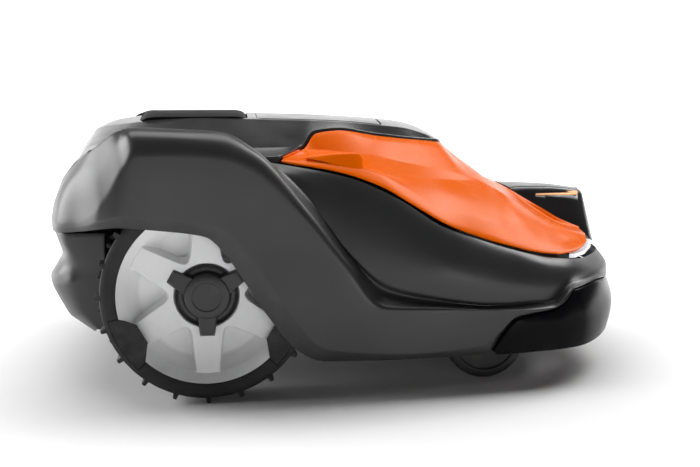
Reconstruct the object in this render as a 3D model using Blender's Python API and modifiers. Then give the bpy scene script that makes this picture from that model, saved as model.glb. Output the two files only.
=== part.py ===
"""Robotic lawn mower: a floating plastic shell on a wheeled chassis with a cutting disc below.

The mower stands on z = 0 with its front towards +X and its left side towards +Y. Sizes below are
in millimetres and MM turns them into metres. Sculpted covers are lofted through guide curves of the
right half and mirrored; everything else is turned, extruded or cut from primitives.
"""

import math

import bmesh
import bpy
import numpy as np
from mathutils import Matrix, Vector

MM = 0.001

# Driving dimensions
HALF_LENGTH = 360.0
TOP = 317.0
SHELL_THICKNESS = 2.5
FIT = 0.3
WHEEL_X = -172.0
WHEEL_RADIUS = 122.5
TYRE_FACE_RADIUS = 117.0
RIM_RADIUS = 99.2
TYRE_Y = (208.0, 268.0)
LUGS = 40
CASTOR_AXIS = (173.0, 190.0)
CASTOR_TRAIL = 12.0
CASTOR_RADIUS = 48.0
CASTOR_WIDTH = 25.0
DISC_X = 10.0
DISC_RADIUS = 100.0
DISC_Z = (50.0, 53.0)
BLADES = 3
BLADE_PIVOT_RADIUS = 92.0
TUB_Z = (64.0, 174.5)
DOME_Z = 112.0
WALL = 3.0
SIDES = {"right": -1.0, "left": 1.0}

# Tub outline of the right half, from the back to the front
TUB_OUTLINE = [
    (-296, 0), (-296, 150), (-282, 186), (-44, 186), (-26, 214),
    (100, 214), (128, 196), (150, 150), (196, 110), (205, 0),
]
# Outline of the low block in front of the tub, which the castors turn under
BLOCK_OUTLINE = [(90, 0), (90, 205), (215, 205), (262, 160), (290, 80), (292, 0)]
BLOCK_TOP = 140.0


def material(name, colour, roughness, metallic=0.0):
    made = bpy.data.materials.new(name)
    made.use_nodes = True
    shader = made.node_tree.nodes["Principled BSDF"]
    shader.inputs["Base Color"].default_value = (*colour, 1.0)
    shader.inputs["Roughness"].default_value = roughness
    shader.inputs["Metallic"].default_value = metallic
    made.diffuse_color = (*colour, 1.0)
    return made


def clear_scene():
    for found in list(bpy.data.objects):
        bpy.data.objects.remove(found, do_unlink=True)


def collection(name, hidden=False):
    made = bpy.data.collections.new(name)
    bpy.context.scene.collection.children.link(made)
    made.hide_render = hidden
    return made


clear_scene()
PARTS = collection("robotic_lawn_mower")
CUTTERS = collection("cutters", hidden=True)

DARK = material("dark_grey_plastic", (0.055, 0.055, 0.057), 0.45)
BLACK = material("black_plastic", (0.012, 0.012, 0.013), 0.35)
DECK = material("deck_gloss_plastic", (0.035, 0.035, 0.037), 0.2)
ORANGE = material("orange_gloss_plastic", (0.83, 0.09, 0.008), 0.22)
RIM = material("silver_grey_plastic", (0.42, 0.43, 0.43), 0.4)
RUBBER = material("rubber", (0.025, 0.025, 0.025), 0.75)
STEEL = material("steel", (0.55, 0.55, 0.56), 0.3, 1.0)
COPPER = material("copper", (0.7, 0.32, 0.16), 0.3, 1.0)
LENS = material("clear_lens", (0.85, 0.87, 0.9), 0.1)
BOARD = material("circuit_board", (0.02, 0.12, 0.05), 0.5)
PACK = material("battery_wrap", (0.03, 0.06, 0.12), 0.5)
STOP = material("stop_red", (0.6, 0.02, 0.02), 0.35)


def finish(made, mat, role=PARTS):
    """Gives a new object its material and its collection."""
    for held in list(made.users_collection):
        held.objects.unlink(made)
    role.objects.link(made)
    if role is CUTTERS:
        made.hide_render = True
        made.display_type = "WIRE"
    elif mat is not None:
        made.data.materials.append(mat)
    return made


def smooth(made, angle=40.0):
    made.data.shade_smooth()
    made.data.set_sharp_from_angle(angle=math.radians(angle))


def mesh_object(name, bm, mat, at=(0, 0, 0), role=PARTS):
    """An object from a bmesh in millimetres round the point at."""
    bmesh.ops.recalc_face_normals(bm, faces=bm.faces)
    bmesh.ops.scale(bm, vec=(MM, MM, MM), verts=bm.verts)
    data = bpy.data.meshes.new(name)
    bm.to_mesh(data)
    bm.free()
    made = bpy.data.objects.new(name, data)
    made.location = Vector(at) * MM
    bpy.context.scene.collection.objects.link(made)
    finish(made, mat, role)
    smooth(made)
    return made


def box(name, low, high, mat=None, role=PARTS, bevel=0.0):
    """A box between two corners, with its origin at its middle."""
    low, high = Vector(low), Vector(high)
    bm = bmesh.new()
    bmesh.ops.create_cube(bm, size=1.0)
    bmesh.ops.scale(bm, vec=high - low, verts=bm.verts)
    made = mesh_object(name, bm, mat, (low + high) / 2, role)
    if bevel:
        rounding = made.modifiers.new("rounding", "BEVEL")
        rounding.width = bevel * MM
        rounding.segments = 2
    return made


def cylinder(name, centre, radius, span, axis="Z", mat=None, role=PARTS, sides=32, top_radius=None):
    """A cylinder or cone frustum; span is its two ends along the axis, counted from centre."""
    bm = bmesh.new()
    length = span[1] - span[0]
    top = radius if top_radius is None else top_radius
    bmesh.ops.create_cone(
        bm, cap_ends=True, segments=sides, radius1=radius, radius2=top, depth=length,
        matrix=Matrix.Translation((0, 0, (span[0] + span[1]) / 2)),
    )
    turn(bm, axis)
    return mesh_object(name, bm, mat, centre, role)


def turn(bm, axis):
    """Turns what stands along +Z to stand along the axis named."""
    rotations = {
        "Y": Matrix.Rotation(math.radians(-90), 4, "X"),
        "-Y": Matrix.Rotation(math.radians(90), 4, "X"),
        "X": Matrix.Rotation(math.radians(90), 4, "Y"),
    }
    if axis in rotations:
        bmesh.ops.transform(bm, matrix=rotations[axis], verts=bm.verts)


def lathe(name, centre, profile, axis="Z", mat=None, sides=40, role=PARTS):
    """A turned piece: profile is a closed loop of (radius, height) pairs round a ring section."""
    bm = bmesh.new()
    rings = []
    for step in range(sides):
        angle = 2 * math.pi * step / sides
        cos, sin = math.cos(angle), math.sin(angle)
        rings.append([bm.verts.new((r * cos, r * sin, h)) for r, h in profile])
    for step in range(sides):
        here, there = rings[step], rings[(step + 1) % sides]
        for index in range(len(profile)):
            after = (index + 1) % len(profile)
            bm.faces.new((here[index], there[index], there[after], here[after]))
    bmesh.ops.remove_doubles(bm, verts=bm.verts, dist=1e-6)
    dissolved = [edge for edge in bm.edges if not edge.link_faces]
    bmesh.ops.delete(bm, geom=dissolved, context="EDGES")
    turn(bm, axis)
    return mesh_object(name, bm, mat, centre, role)


def prism(name, outline, span, axis="Z", mat=None, role=PARTS, at=(0, 0, 0)):
    """A flat outline pushed between the two ends of span along the axis named."""
    bm = bmesh.new()
    low = [bm.verts.new((x, y, span[0])) for x, y in outline]
    high = [bm.verts.new((x, y, span[1])) for x, y in outline]
    bm.faces.new(low)
    bm.faces.new(high)
    count = len(outline)
    for index in range(count):
        after = (index + 1) % count
        bm.faces.new((low[index], low[after], high[after], high[index]))
    swaps = {
        "X": Matrix(((0, 0, 1, 0), (1, 0, 0, 0), (0, 1, 0, 0), (0, 0, 0, 1))),
        "Y": Matrix(((1, 0, 0, 0), (0, 0, 1, 0), (0, 1, 0, 0), (0, 0, 0, 1))),
    }
    if axis in swaps:
        bmesh.ops.transform(bm, matrix=swaps[axis], verts=bm.verts)
    return mesh_object(name, bm, mat, at, role)


def boolean(target, other, operation="DIFFERENCE"):
    step = target.modifiers.new(operation.lower(), "BOOLEAN")
    step.operation = operation
    step.object = other
    step.solver = "EXACT"
    return target


def hide(other):
    """Makes a helper out of an object that another one joins or cuts with."""
    return finish(other, None, CUTTERS)


def join(target, *others):
    for other in others:
        boolean(target, hide(other), "UNION")
    return target


def cut(target, *others):
    for other in others:
        boolean(target, other)
    return target


def mirrored_outline(half, shrink=0.0):
    """The whole outline from the half at positive Y, moved inwards by shrink."""
    whole = half + [(x, -y) for x, y in reversed(half) if y]
    if not shrink:
        return whole
    points = [Vector(p) for p in whole]
    area = sum(a.x * b.y - b.x * a.y for a, b in zip(points, points[1:] + points[:1]))
    inwards = 1.0 if area > 0 else -1.0
    moved = []
    count = len(points)
    for index, point in enumerate(points):
        before = (point - points[index - 1]).normalized()
        after = (points[(index + 1) % count] - point).normalized()
        normal_a = Vector((-before.y, before.x)) * inwards
        normal_b = Vector((-after.y, after.x)) * inwards
        middle = (normal_a + normal_b).normalized()
        moved.append(tuple(point + middle * shrink / max(middle.dot(normal_a), 0.3)))
    return moved


# Lofted covers ------------------------------------------------------------------------------------


def slopes(knots, values):
    """Slopes at the knots that keep a cubic through the values from overshooting."""
    steps = np.diff(knots)
    rises = np.diff(values) / steps
    made = np.zeros_like(values)
    made[0], made[-1] = rises[0], rises[-1]
    for k in range(1, len(knots) - 1):
        if rises[k - 1] * rises[k] > 0:
            a = 2 * steps[k] + steps[k - 1]
            b = steps[k] + 2 * steps[k - 1]
            made[k] = (a + b) / (a / rises[k - 1] + b / rises[k])
    return made


CROWN_RISE = 8.5
CROWN_HALF_WIDTH = 262.0


def crowned(points):
    """The points with the middle of the body raised; the guide curves' heights leave this out."""
    share = np.clip(1 - np.abs(points[:, 1]) / CROWN_HALF_WIDTH, 0, None)
    points[:, 2] += CROWN_RISE * share
    return points


def guide(points, stations):
    """Points of a smooth curve at the stations; each of its own points is (station, x, y, z)."""
    table = np.array(points, float)
    knots = table[:, 0]
    found = []
    for column in (1, 2, 3):
        values = table[:, column]
        tangents = slopes(knots, values)
        spans = np.clip(np.searchsorted(knots, stations, side="right") - 1, 0, len(knots) - 2)
        width = knots[spans + 1] - knots[spans]
        t = (stations - knots[spans]) / width
        found.append(
            (2 * t**3 - 3 * t**2 + 1) * values[spans]
            + (t**3 - 2 * t**2 + t) * width * tangents[spans]
            + (3 * t**2 - 2 * t**3) * values[spans + 1]
            + (t**3 - t**2) * width * tangents[spans + 1]
        )
    return crowned(np.stack(found, axis=1))


def between(first, second, share, push=(0, 0, 0)):
    """A row of points between two rows, pushed out to give the surface its crown."""
    return first * (1 - share) + second * share + np.array(push, float)


def loft(name, rows, mat, thickness=SHELL_THICKNESS, mirror=True, flip=False):
    """A thin shell through rows of points of the right half, mirrored to the left."""
    bm = bmesh.new()
    on_plane = 1.5
    grid = [
        [bm.verts.new((x, 0.0 if abs(y) < on_plane else y, z)) for x, y, z in row] for row in rows
    ]
    for upper, lower in zip(grid, grid[1:]):
        for index in range(len(upper) - 1):
            corners = (upper[index], lower[index], lower[index + 1], upper[index + 1])
            bm.faces.new(corners[::-1] if flip else corners)
    bmesh.ops.scale(bm, vec=(MM, MM, MM), verts=bm.verts)
    bmesh.ops.remove_doubles(bm, verts=bm.verts, dist=1e-5)
    data = bpy.data.meshes.new(name)
    bm.to_mesh(data)
    bm.free()
    made = bpy.data.objects.new(name, data)
    bpy.context.scene.collection.objects.link(made)
    finish(made, mat)
    if mirror:
        both = made.modifiers.new("both_sides", "MIRROR")
        both.use_axis = (False, True, False)
        both.merge_threshold = 0.0001
    shell = made.modifiers.new("wall", "SOLIDIFY")
    shell.thickness = thickness * MM
    shell.offset = -1.0
    smooth(made, 35)
    return made


# Guide curves of the body shell. Station 0 is the middle of the back and station 20 the middle of
# the front; stations 4 to 12 follow the wheel arch.
SEAM = [
    (0, -344, 0, 241), (1, -333, -130, 246), (2, -312, -190, 269), (3, -299, -212, 277),
    (4, -285, -221, 275), (5, -265, -226, 272), (7, -193, -230, 270), (9, -118, -231, 268),
    (10, -62, -231, 259), (11, -8, -231, 247), (12, 47, -236, 223), (13, 100, -240, 190),
    (14, 146, -236, 173), (15, 188, -228, 159), (16, 232, -211, 146.5), (17, 264, -196, 141),
    (18, 296, -160, 135), (19, 340, -78, 131), (20, 350, 0, 127),
]
SHOULDER = [
    (9, -115, -236, 268), (10, -64, -238, 253), (11, -12, -241, 226), (12, 42, -247, 203),
    (13, 98, -252, 170), (14, 150, -247, 158), (15, 190, -238, 147), (16, 234, -223, 139),
    (17, 266, -205, 134), (18, 299, -168, 130), (19, 343, -84, 126), (20, 353, 0, 122),
]
BULGE = [
    (9, -112, -240, 269), (10, -64, -243, 246), (11, -15, -249, 198), (12, 39, -256, 163),
    (13, 97, -262, 143), (14, 151, -257, 131), (15, 191, -248, 124), (16, 235, -233, 120),
    (17, 266, -212, 125), (18, 302, -176, 124), (19, 347, -92, 119), (20, 357, 0, 116),
]
LIP = [
    (9, -110, -244, 272), (10, -62, -246, 235), (11, -13, -253, 166), (12, 32, -256, 128),
    (13, 94, -258, 111), (14, 152, -254, 102), (15, 190, -246, 100), (16, 233, -234, 101),
    (17, 262, -220, 120), (18, 301, -182, 121), (19, 347, -97, 115), (20, 358, 0, 112),
]
GROOVE = [
    (9, -109, -247, 277), (10, -57, -249, 225), (11, -9, -248, 160), (12, 32, -250, 119),
    (13, 96, -251, 105.5), (14, 153, -248, 98.5), (15, 191, -242, 97), (16, 232, -234, 98),
    (17, 262, -223, 117.5), (18, 300, -186, 118), (19, 346.5, -99, 111), (20, 358, 0, 108),
]
FENDER_TOP = [
    (0, -349, 0, 230), (1, -340, -132, 236), (2, -317, -193, 262), (3, -303, -218, 275),
    (4, -286, -231, 289), (5, -266, -240, 304), (6, -247, -244, 308), (7, -193, -249, 306),
    (8, -152, -251, 303), (9, -112, -254, 280), (10, -57, -262, 217), (11, -13, -265, 158),
    (12, 29, -265, 109), (13, 99, -263, 103), (14, 153, -259, 97.5), (15, 192, -253, 96),
    (16, 231, -245, 96), (17, 262, -229, 116), (18, 299.5, -190, 116.5), (19, 346, -102, 106),
    (20, 359, 0, 104),
]
CHAMFER = [
    (0, -354, 0, 208), (1, -349, -135, 213), (2, -333, -208, 235), (3, -311, -236, 246),
    (4, -288, -253, 262), (5, -265, -260, 287), (6, -247, -267, 303), (7, -193, -270, 300),
    (8, -153, -270, 296), (9, -114, -269, 279), (10, -61, -270, 217), (11, -16, -271, 157),
    (12, 28, -270, 106), (13, 100, -267, 101), (14, 153, -261.5, 96.8), (15, 192, -256.5, 95),
    (16, 230.5, -248, 94.8), (17, 262, -231.5, 115), (18, 299, -193, 115.5), (19, 346, -103, 104),
    (20, 359, 0, 102),
]
CREST = [
    (0, -355, 0, 197), (1, -352, -136, 197), (2, -338, -217, 200), (3, -312, -244, 203),
    (4, -283, -271, 226), (5, -260, -276, 263), (6, -241, -279, 284), (7, -193, -280, 283),
    (8, -156, -280, 280), (9, -122, -278, 268), (10, -67, -275, 214), (11, -20, -274, 154),
    (12, 24, -272, 104), (13, 102, -268, 99), (14, 153, -262.5, 96), (15, 192, -258, 94),
    (16, 230, -249, 94), (17, 262, -232.5, 114.6), (18, 298, -195, 115), (19, 345, -105, 103),
    (20, 359, 0, 101),
]
ARCH_EDGE = [
    (0, -355, 0, 191), (1, -352, -136, 191), (2, -338, -218, 194), (3, -312, -245, 198),
    (4, -286, -272, 207), (5, -263, -280, 213), (6, -240, -280, 211), (7, -190, -280, 207),
    (8, -163, -280, 204), (9, -146, -280, 194), (10, -127, -280, 171), (11, -97, -280, 129),
    (12, -67, -278, 84), (12.4, -40, -276, 60), (13, 60, -272, 50), (14, 143, -262, 55),
    (14.4, 166, -260, 72), (14.9, 184, -258.5, 87), (16, 231, -249.6, 93.4),
    (16.4, 244, -245.5, 98.6), (17, 262, -234.5, 114.2), (18, 297, -198, 114.4),
    (19, 344, -108, 102), (20, 359, 0, 99.5),
]
BOTTOM_EDGE = [
    (0, -355, 0, 185), (1, -352, -136, 185), (2, -338, -219, 188), (3, -312, -246, 193),
    (4, -286, -270, 199), (5, -266, -277, 201), (6, -240, -278, 199), (7, -188, -278, 193),
    (8, -171, -278, 189), (9, -154, -278, 174), (10, -138, -278, 151), (11, -104, -278, 98),
    (12, -68, -276, 56), (12.4, -42, -274, 45), (13, 60, -270, 43), (14, 150, -260, 43.5),
    (14.4, 166, -259.5, 66.5), (14.9, 184, -258.2, 84.8), (16, 231, -250, 92.6),
    (16.4, 244, -246, 97.8), (17, 262, -235, 113.5), (18, 296, -199, 113.6),
    (19, 343.5, -110, 101), (20, 358.5, 0, 98.5),
]


GUTTER_END = 9.0


def gutter_row(points, stations, share, seam, fender):
    """A row that starts where the gutter beside the deck ends, and divides its wall before that."""
    wall = between(seam, fender, share)
    return np.where(stations[:, None] < GUTTER_END, wall, guide(points, stations))


def body_shell():
    stations = np.unique(np.concatenate([np.arange(0, 21), [9.5, 11.5, 12.4, 14.4, 14.9, 17.5]]))
    seam = guide(SEAM, stations)
    fender = guide(FENDER_TOP, stations)
    rows = [seam]
    for share, points in zip((0.2, 0.4, 0.6, 0.8), (SHOULDER, BULGE, LIP, GROOVE)):
        rows.append(gutter_row(points, stations, share, seam, fender))
    rows.append(fender)
    rows += [guide(points, stations) for points in (CHAMFER, CREST, ARCH_EDGE, BOTTOM_EDGE)]
    return loft("body_shell", rows, DARK)


# Guide curves of the orange cover, from its pointed back to the tip of its wing.
COVER_LOW = [
    (0, -86, -226, 266.5), (1, -60, -226, 262.5), (2, -38, -226, 258.5), (3, -8, -227, 251.5),
    (4, 32, -231, 236.5), (5, 66, -235, 216.5), (6, 107, -236, 193), (7, 140, -233, 179.5),
    (8, 168, -229, 170), (9, 190, -223, 163.5), (10, 208, -217.5, 158), (11, 226, -211, 153.5),
    (12, 240, -205, 151), (13, 255, -198, 149), (14, 272, -188, 149), (15, 290, -171, 152),
    (16, 300, -156, 154),
]
COVER_RIDGE = [
    (0, -84, -223, 268), (1, -58, -215, 267.5), (3, -5, -215, 260), (4, 30, -216, 249),
    (5, 66, -218, 229), (6, 107, -216, 206), (7, 143, -210, 197), (8, 170, -204, 187.5),
    (9, 193, -198, 178), (10, 212, -191, 172), (12, 242, -179, 162.5), (14, 273, -163, 156.5),
    (16, 302, -148, 156),
]
COVER_FACET = [
    (0, -83, -221, 268.5), (1, -57, -196, 271), (2, -32, -200, 264), (3, 8, -203, 256),
    (4, 36, -196, 249), (5, 65, -185, 241), (6, 106, -158, 235), (7, 146, -130, 229),
    (8, 173, -112, 225), (9, 190, -112, 217), (10, 205, -118, 208), (12, 232, -118, 190),
    (14, 266, -116, 172), (16, 311, -112, 157),
]
COVER_CREASE = [
    (0, -82, -219, 269), (1, -56, -172, 273), (2, -34, -166, 272), (3, -4, -166, 269),
    (4, 28, -162, 265), (5, 66, -150, 255), (6, 107, -135, 246), (7, 144, -122, 236),
    (8, 170, -104, 228), (9, 187, -80, 224), (10, 199, -62, 219), (11, 211, -52, 213),
    (12, 230, -50, 202.5), (13, 248, -52, 190), (14, 267, -55, 177), (15, 291, -60, 163),
    (16, 320, -66, 155),
]
COVER_TOP = [
    (0, -80, -217, 269.5), (1, -55, -168, 274), (2, -38, -150, 290.5), (3, -10, -140, 293),
    (4, 38, -120, 284.5), (5, 74, -104, 279), (6, 112, -80, 273.5), (7, 132, -60, 269.5),
    (8, 144, 0, 263), (9, 168, 0, 243), (10, 192, 0, 223), (11, 218, 0, 211.5),
    (12, 231, -45, 204.5), (13, 251, -47, 192.5), (14, 271, -51, 181), (15, 297, -56, 166),
    (16, 322, -63, 155.5),
]


def top_cover():
    stations = np.arange(0, 16.01, 1.0)
    low, ridge, facet, crease, top = (
        guide(points, stations)
        for points in (COVER_LOW, COVER_RIDGE, COVER_FACET, COVER_CREASE, COVER_TOP)
    )
    crown = np.clip((stations - 3) / 4, 0, 1)[:, None] * np.array((0, 0, 3.0))
    saddle = np.clip(1 - np.abs(stations - 9) / 2, 0, 1)[:, None] * np.array((0, -4.0, 2.5))
    rows = [
        top,
        between(crease, top, 0.5) + saddle,
        crease,
        facet,
        between(ridge, facet, 0.5) + crown,
        ridge,
        between(low, ridge, 0.5, (0, -1.0, 0)),
        low,
    ]
    return loft("top_cover", rows, ORANGE)


# Guide curves of the deck, from the middle of the back round the side to the middle of the front.
DECK_FOOT = [
    (0, -341, 0, 244.5), (1, -330, -127, 249.5), (2, -309.5, -186, 272), (3, -296.5, -207.5, 279.5),
    (4, -283, -217, 277.5), (5, -240, -223.5, 273.5), (6, -156, -227, 272.5),
    (7, -118, -227, 271.5), (8, -90, -220, 272), (9, -58, -163, 277.5), (10, -41, -146, 294),
    (11, -10, -136, 296.5), (12, 38, -116, 288), (13, 83, -95.5, 281), (14, 111, -76, 277),
    (15, 132, -54, 273), (16, 141, 0, 267.5),
]
DECK_SIDE = [
    (0, -322, 0, 271), (1, -315, -114, 273), (2, -303, -162, 280), (3, -292, -178, 281),
    (4, -279, -181, 279), (5, -240, -182, 277.5), (6, -156, -182, 277), (7, -116, -181, 277),
    (8, -88, -178, 277), (9, -56, -158, 278), (10, -38, -126, 288.5), (11, -5, -117, 289.5),
    (12, 42, -101, 283), (13, 84, -83, 278.5), (14, 110, -70, 275.5), (15, 131, -51.5, 272.5),
    (16, 140, 0, 268),
]
DECK_RIM = [
    (0, -308, 0, 286), (1, -307, -42, 287.5), (2, -303, -60, 290.5), (3, -296, -64.5, 293),
    (4, -266, -64.5, 297), (5, -231, -64.5, 300.6), (6, -178, -64.5, 302.8),
    (7, -119, -64.5, 301.7), (8, -80, -64.5, 300.4), (9, -52, -64.5, 299.5),
    (10, -33, -64.5, 298.9), (11, 0, -64.5, 297.5), (12, 46, -64.5, 293), (13, 84, -63, 288.4),
    (14, 108, -57, 281.8), (15, 127, -42, 275), (16, 138, 0, 269),
]
DECK_MIDDLE = [
    (0, -298, 0, 290.5), (1, -290, 0, 294.5), (3, -274, 0, 298.5), (5, -235, 0, 303),
    (6, -170, 0, 305.5), (7, -115, 0, 304.8), (9, -50, 0, 303), (11, 0, 0, 300.5),
    (12, 50, 0, 297), (13, 84, 0, 292.8), (14, 106, 0, 287), (15, 122, 0, 279.5),
    (16, 134, 0, 271),
]
HATCH_X = (-104.0, 54.0)
HATCH_HALF_WIDTH = 61.0
HATCH_GAP = 1.0
HATCH_FRONT_GAP = 2.5
HINGE = (45.0, 0.0, 294.8)
PIN_RADIUS = 1.5
STOP_X = (-250.0, -117.0)
STOP_HALF_WIDTH = 60.5
STOP_CROWN = 6.0


def deck_rows():
    stations = np.arange(0, 16.01, 1.0)
    foot, side, rim, middle = (
        guide(points, stations) for points in (DECK_FOOT, DECK_SIDE, DECK_RIM, DECK_MIDDLE)
    )
    return [
        middle,
        between(rim, middle, 0.68, (0, 0, 0.6)),
        between(rim, middle, 0.36, (0, 0, 0.6)),
        rim,
        side,
        foot,
    ]


def deck_window(name, spread, role=CUTTERS):
    """The block of space that the hatch takes out of the deck, grown by spread."""
    ahead = HATCH_FRONT_GAP if spread else 0.0
    low = (HATCH_X[0] - spread, -HATCH_HALF_WIDTH - spread, 270)
    high = (HATCH_X[1] + ahead, HATCH_HALF_WIDTH + spread, 320)
    return box(name, low, high, role=role)


def top_deck():
    deck = loft("top_deck", deck_rows(), DECK)
    stop_hole = box(
        "stop_hole",
        (STOP_X[0] - 1, -STOP_HALF_WIDTH - 1, 270),
        (STOP_X[1] + 1, STOP_HALF_WIDTH + 1, 330),
        role=CUTTERS,
    )
    cut(deck, deck_window("hatch_hole", HATCH_GAP), stop_hole)
    hinge_x, _, hinge_z = HINGE
    for name, sign in SIDES.items():
        near, far = sorted((sign * 64, sign * 69.5))
        low = (hinge_x - 5, near, hinge_z - 5.5)
        lug = box("hinge_lug_" + name, low, (hinge_x + 5, far, hinge_z + 2.5), DECK)
        join(deck, lug)
    bore = cylinder("lug_bores", HINGE, PIN_RADIUS + FIT, (-75, 75), "Y", role=CUTTERS, sides=16)
    cut(deck, bore)
    lid = loft("hatch_lid", deck_rows(), DECK)
    boolean(lid, deck_window("hatch_limit", 0.0), "INTERSECT")
    barrel = cylinder("hatch_barrel", HINGE, 3.6, (-30, 30), "Y", DECK, sides=16)
    arm = box("hatch_arm", (hinge_x - 4, -29, hinge_z), (hinge_x + 4, 29, hinge_z + 6.5), DECK)
    join(lid, arm, barrel)
    pin_hole = cylinder(
        "hatch_pin_hole", HINGE, PIN_RADIUS + FIT, (-40, 40), "Y", role=CUTTERS, sides=16
    )
    cut(lid, pin_hole)
    set_origin(lid, HINGE)
    return deck, lid


def set_origin(made, point):
    """Moves an object's origin to the point and leaves its shape where it is."""
    point = Vector(point) * MM
    made.data.transform(Matrix.Translation(made.location - point))
    for step in made.modifiers:
        if step.type == "MIRROR":
            centre = bpy.data.objects.new(made.name + "_plane", None)
            CUTTERS.objects.link(centre)
            step.mirror_object = centre
    made.location = point


# Guide curves of the nose cover, from under the orange cover to the middle of the nose's front.
NOSE_TOP = [
    (0, 232.5, -38, 206), (1, 248, -33, 207), (2, 275, -30, 206), (3, 303, -27, 204),
    (4, 326, -24, 201), (5, 336, -12, 199.5), (6, 338, 0, 199.5),
]
NOSE_CORNER = [
    (0, 235, -41, 202), (1, 248, -38, 203), (2, 275, -34.5, 202), (3, 303, -31, 200),
    (4, 330, -28, 197), (5, 341, -14, 195), (6, 343, 0, 195),
]
NOSE_FOOT = [
    (0, 238, -43.5, 197), (1, 252, -45.8, 188), (2, 273, -50, 175.5), (3, 300, -55, 161),
    (4, 330, -62, 147), (5, 351, -34, 131.5), (6, 355, 0, 128.5),
]


def nose_cover():
    stations = np.arange(0, 6.01, 0.5)
    top, corner, foot = (guide(points, stations) for points in (NOSE_TOP, NOSE_CORNER, NOSE_FOOT))
    spine = top.copy()
    spine[:, 1] = 0.0
    spine[:, 2] += 1.0
    spine[0] = (222.5, 0.0, 219.0)
    rows = [spine, top, corner, between(corner, foot, 0.5), foot]
    cover = loft("nose_cover", rows, BLACK)
    for name, sign in SIDES.items():
        slot = box(
            "strip_slot_" + name,
            (268, min(sign * 26, sign * 45), 200),
            (330, max(sign * 26, sign * 45), 207),
            role=CUTTERS,
        )
        cut(cover, slot)
        box(
            "charge_strip_" + name,
            (269, min(sign * 27, sign * 30), 200.5),
            (329, max(sign * 27, sign * 30), 206.5),
            COPPER,
        )
    return cover


BUMPER_SEAM = [
    (0, 156, -258.6, 47), (1, 168, -258.6, 64), (2, 185, -257.5, 82), (3, 232, -249, 90),
    (4, 246, -244.5, 95.5), (5, 263.5, -233.5, 111), (6, 297, -198, 111), (7, 344, -109, 98.5),
    (8, 357, 0, 96),
]
BUMPER_BELLY = [
    (0, 158, -258.6, 45.5), (1, 176, -258.6, 55), (2, 196, -256.5, 66), (3, 235, -251, 72),
    (4, 251, -246, 74), (5, 273, -236, 78), (6, 304, -202, 77), (7, 350, -112, 73),
    (8, 360, 0, 71),
]
BUMPER_LOW = [
    (0, 160, -258.4, 43.2), (1, 181, -256.5, 43), (2, 206, -252, 43), (3, 237, -246, 43),
    (4, 253, -241, 43), (5, 271, -232, 43), (6, 301, -201, 43), (7, 342, -116, 43),
    (8, 353, 0, 43),
]


def front_bumper():
    stations = np.arange(0, 8.01, 0.5)
    seam, belly, low = (
        guide(points, stations) for points in (BUMPER_SEAM, BUMPER_BELLY, BUMPER_LOW)
    )
    rows = [
        seam,
        between(seam, belly, 0.5, (1.0, -0.6, 0)),
        belly,
        between(belly, low, 0.5, (1, -1, 0)),
        low,
    ]
    return loft("front_bumper", rows, BLACK)


# The rear skirt hangs between the wheels: a bent wall with a waist.
SKIRT_ROWS = [
    (183.0, -352.0, 184.0, -329.0), (165.0, -347.0, 173.0, -328.0), (148.0, -342.0, 161.0, -322.0),
    (134.0, -350.0, 149.0, -315.0), (118.0, -360.0, 138.0, -316.0), (104.0, -357.0, 126.0, -322.0),
    (88.0, -349.0, 112.0, -319.0), (66.0, -337.0, 92.0, -312.0), (45.0, -306.0, 71.0, -297.0),
]
SKIRT_FRONT = -286.0


def skirt_points(height, back, side_height, corner):
    """One row of the skirt, from the middle of the back round the corner to the front of the side."""
    rise, run = side_height - height, corner - back
    return [
        (back, 0, height), (back, -70, height), (back + 0.08 * run, -140, height + 0.35 * rise),
        (back + 0.45 * run, -182, height + 0.75 * rise), (corner, -200, side_height),
        (SKIRT_FRONT, -203, side_height),
    ]


def rear_skirt():
    rows = [crowned(np.array(skirt_points(*row))) for row in SKIRT_ROWS]
    return loft("rear_skirt", rows, DARK, flip=False)


def stop_button():
    across = [STOP_HALF_WIDTH * share for share in (-1, -0.75, -0.5, -0.25, 0, 0.25, 0.5, 0.75, 1)]
    crown = [(y, TOP - STOP_CROWN * (y / STOP_HALF_WIDTH) ** 2) for y in across]
    outline = [(-STOP_HALF_WIDTH, TOP - 14), *crown, (STOP_HALF_WIDTH, TOP - 14)]
    return prism("stop_button", outline, STOP_X, "X", BLACK)


HEADLIGHT_OUTLINE = [
    (268, 186), (276, 184), (297, 158), (322, 108), (335, 72), (330, 66), (316, 100), (290, 152),
]


def headlights():
    for name, sign in SIDES.items():
        outline = [(x, sign * y) for x, y in HEADLIGHT_OUTLINE]
        prism("headlight_" + name, outline, (142.0, 146.5), mat=LENS)


# Wheels -------------------------------------------------------------------------------------------


def polar(radius, degrees):
    angle = math.radians(degrees)
    return radius * math.cos(angle), radius * math.sin(angle)


def tyre_outline():
    """The tyre's edge with a lug at each step; one lug points straight down."""
    pitch = 360.0 / LUGS
    outline = []
    for lug in range(LUGS):
        middle = -90.0 + lug * pitch
        outline += [
            polar(TYRE_FACE_RADIUS, middle - 1.6),
            polar(WHEEL_RADIUS / math.cos(math.radians(0.9)), middle - 0.9),
            polar(WHEEL_RADIUS / math.cos(math.radians(0.9)), middle + 0.9),
            polar(TYRE_FACE_RADIUS, middle + 1.6),
        ]
    return outline


def clip_outline(spread):
    """One tyre clip that points up: a wedge in the tyre with a narrower tongue over the rim."""
    edge = 16.5 + spread
    outer = [polar(111 + spread, 90 + a) for a in (edge, edge * 0.5, 0, -edge * 0.5, -edge)]
    inner = [polar(RIM_RADIUS + 0.6, 90 - edge), polar(83.4 - spread, 82 - spread)]
    inner += [polar(83.4 - spread, 98 + spread), polar(RIM_RADIUS + 0.6, 90 + edge)]
    return outer + inner


POCKET_OUTLINE = [(43, -3), (43, 3), (70, 17), (86, 20), (86, -20), (70, -17)]


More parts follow.
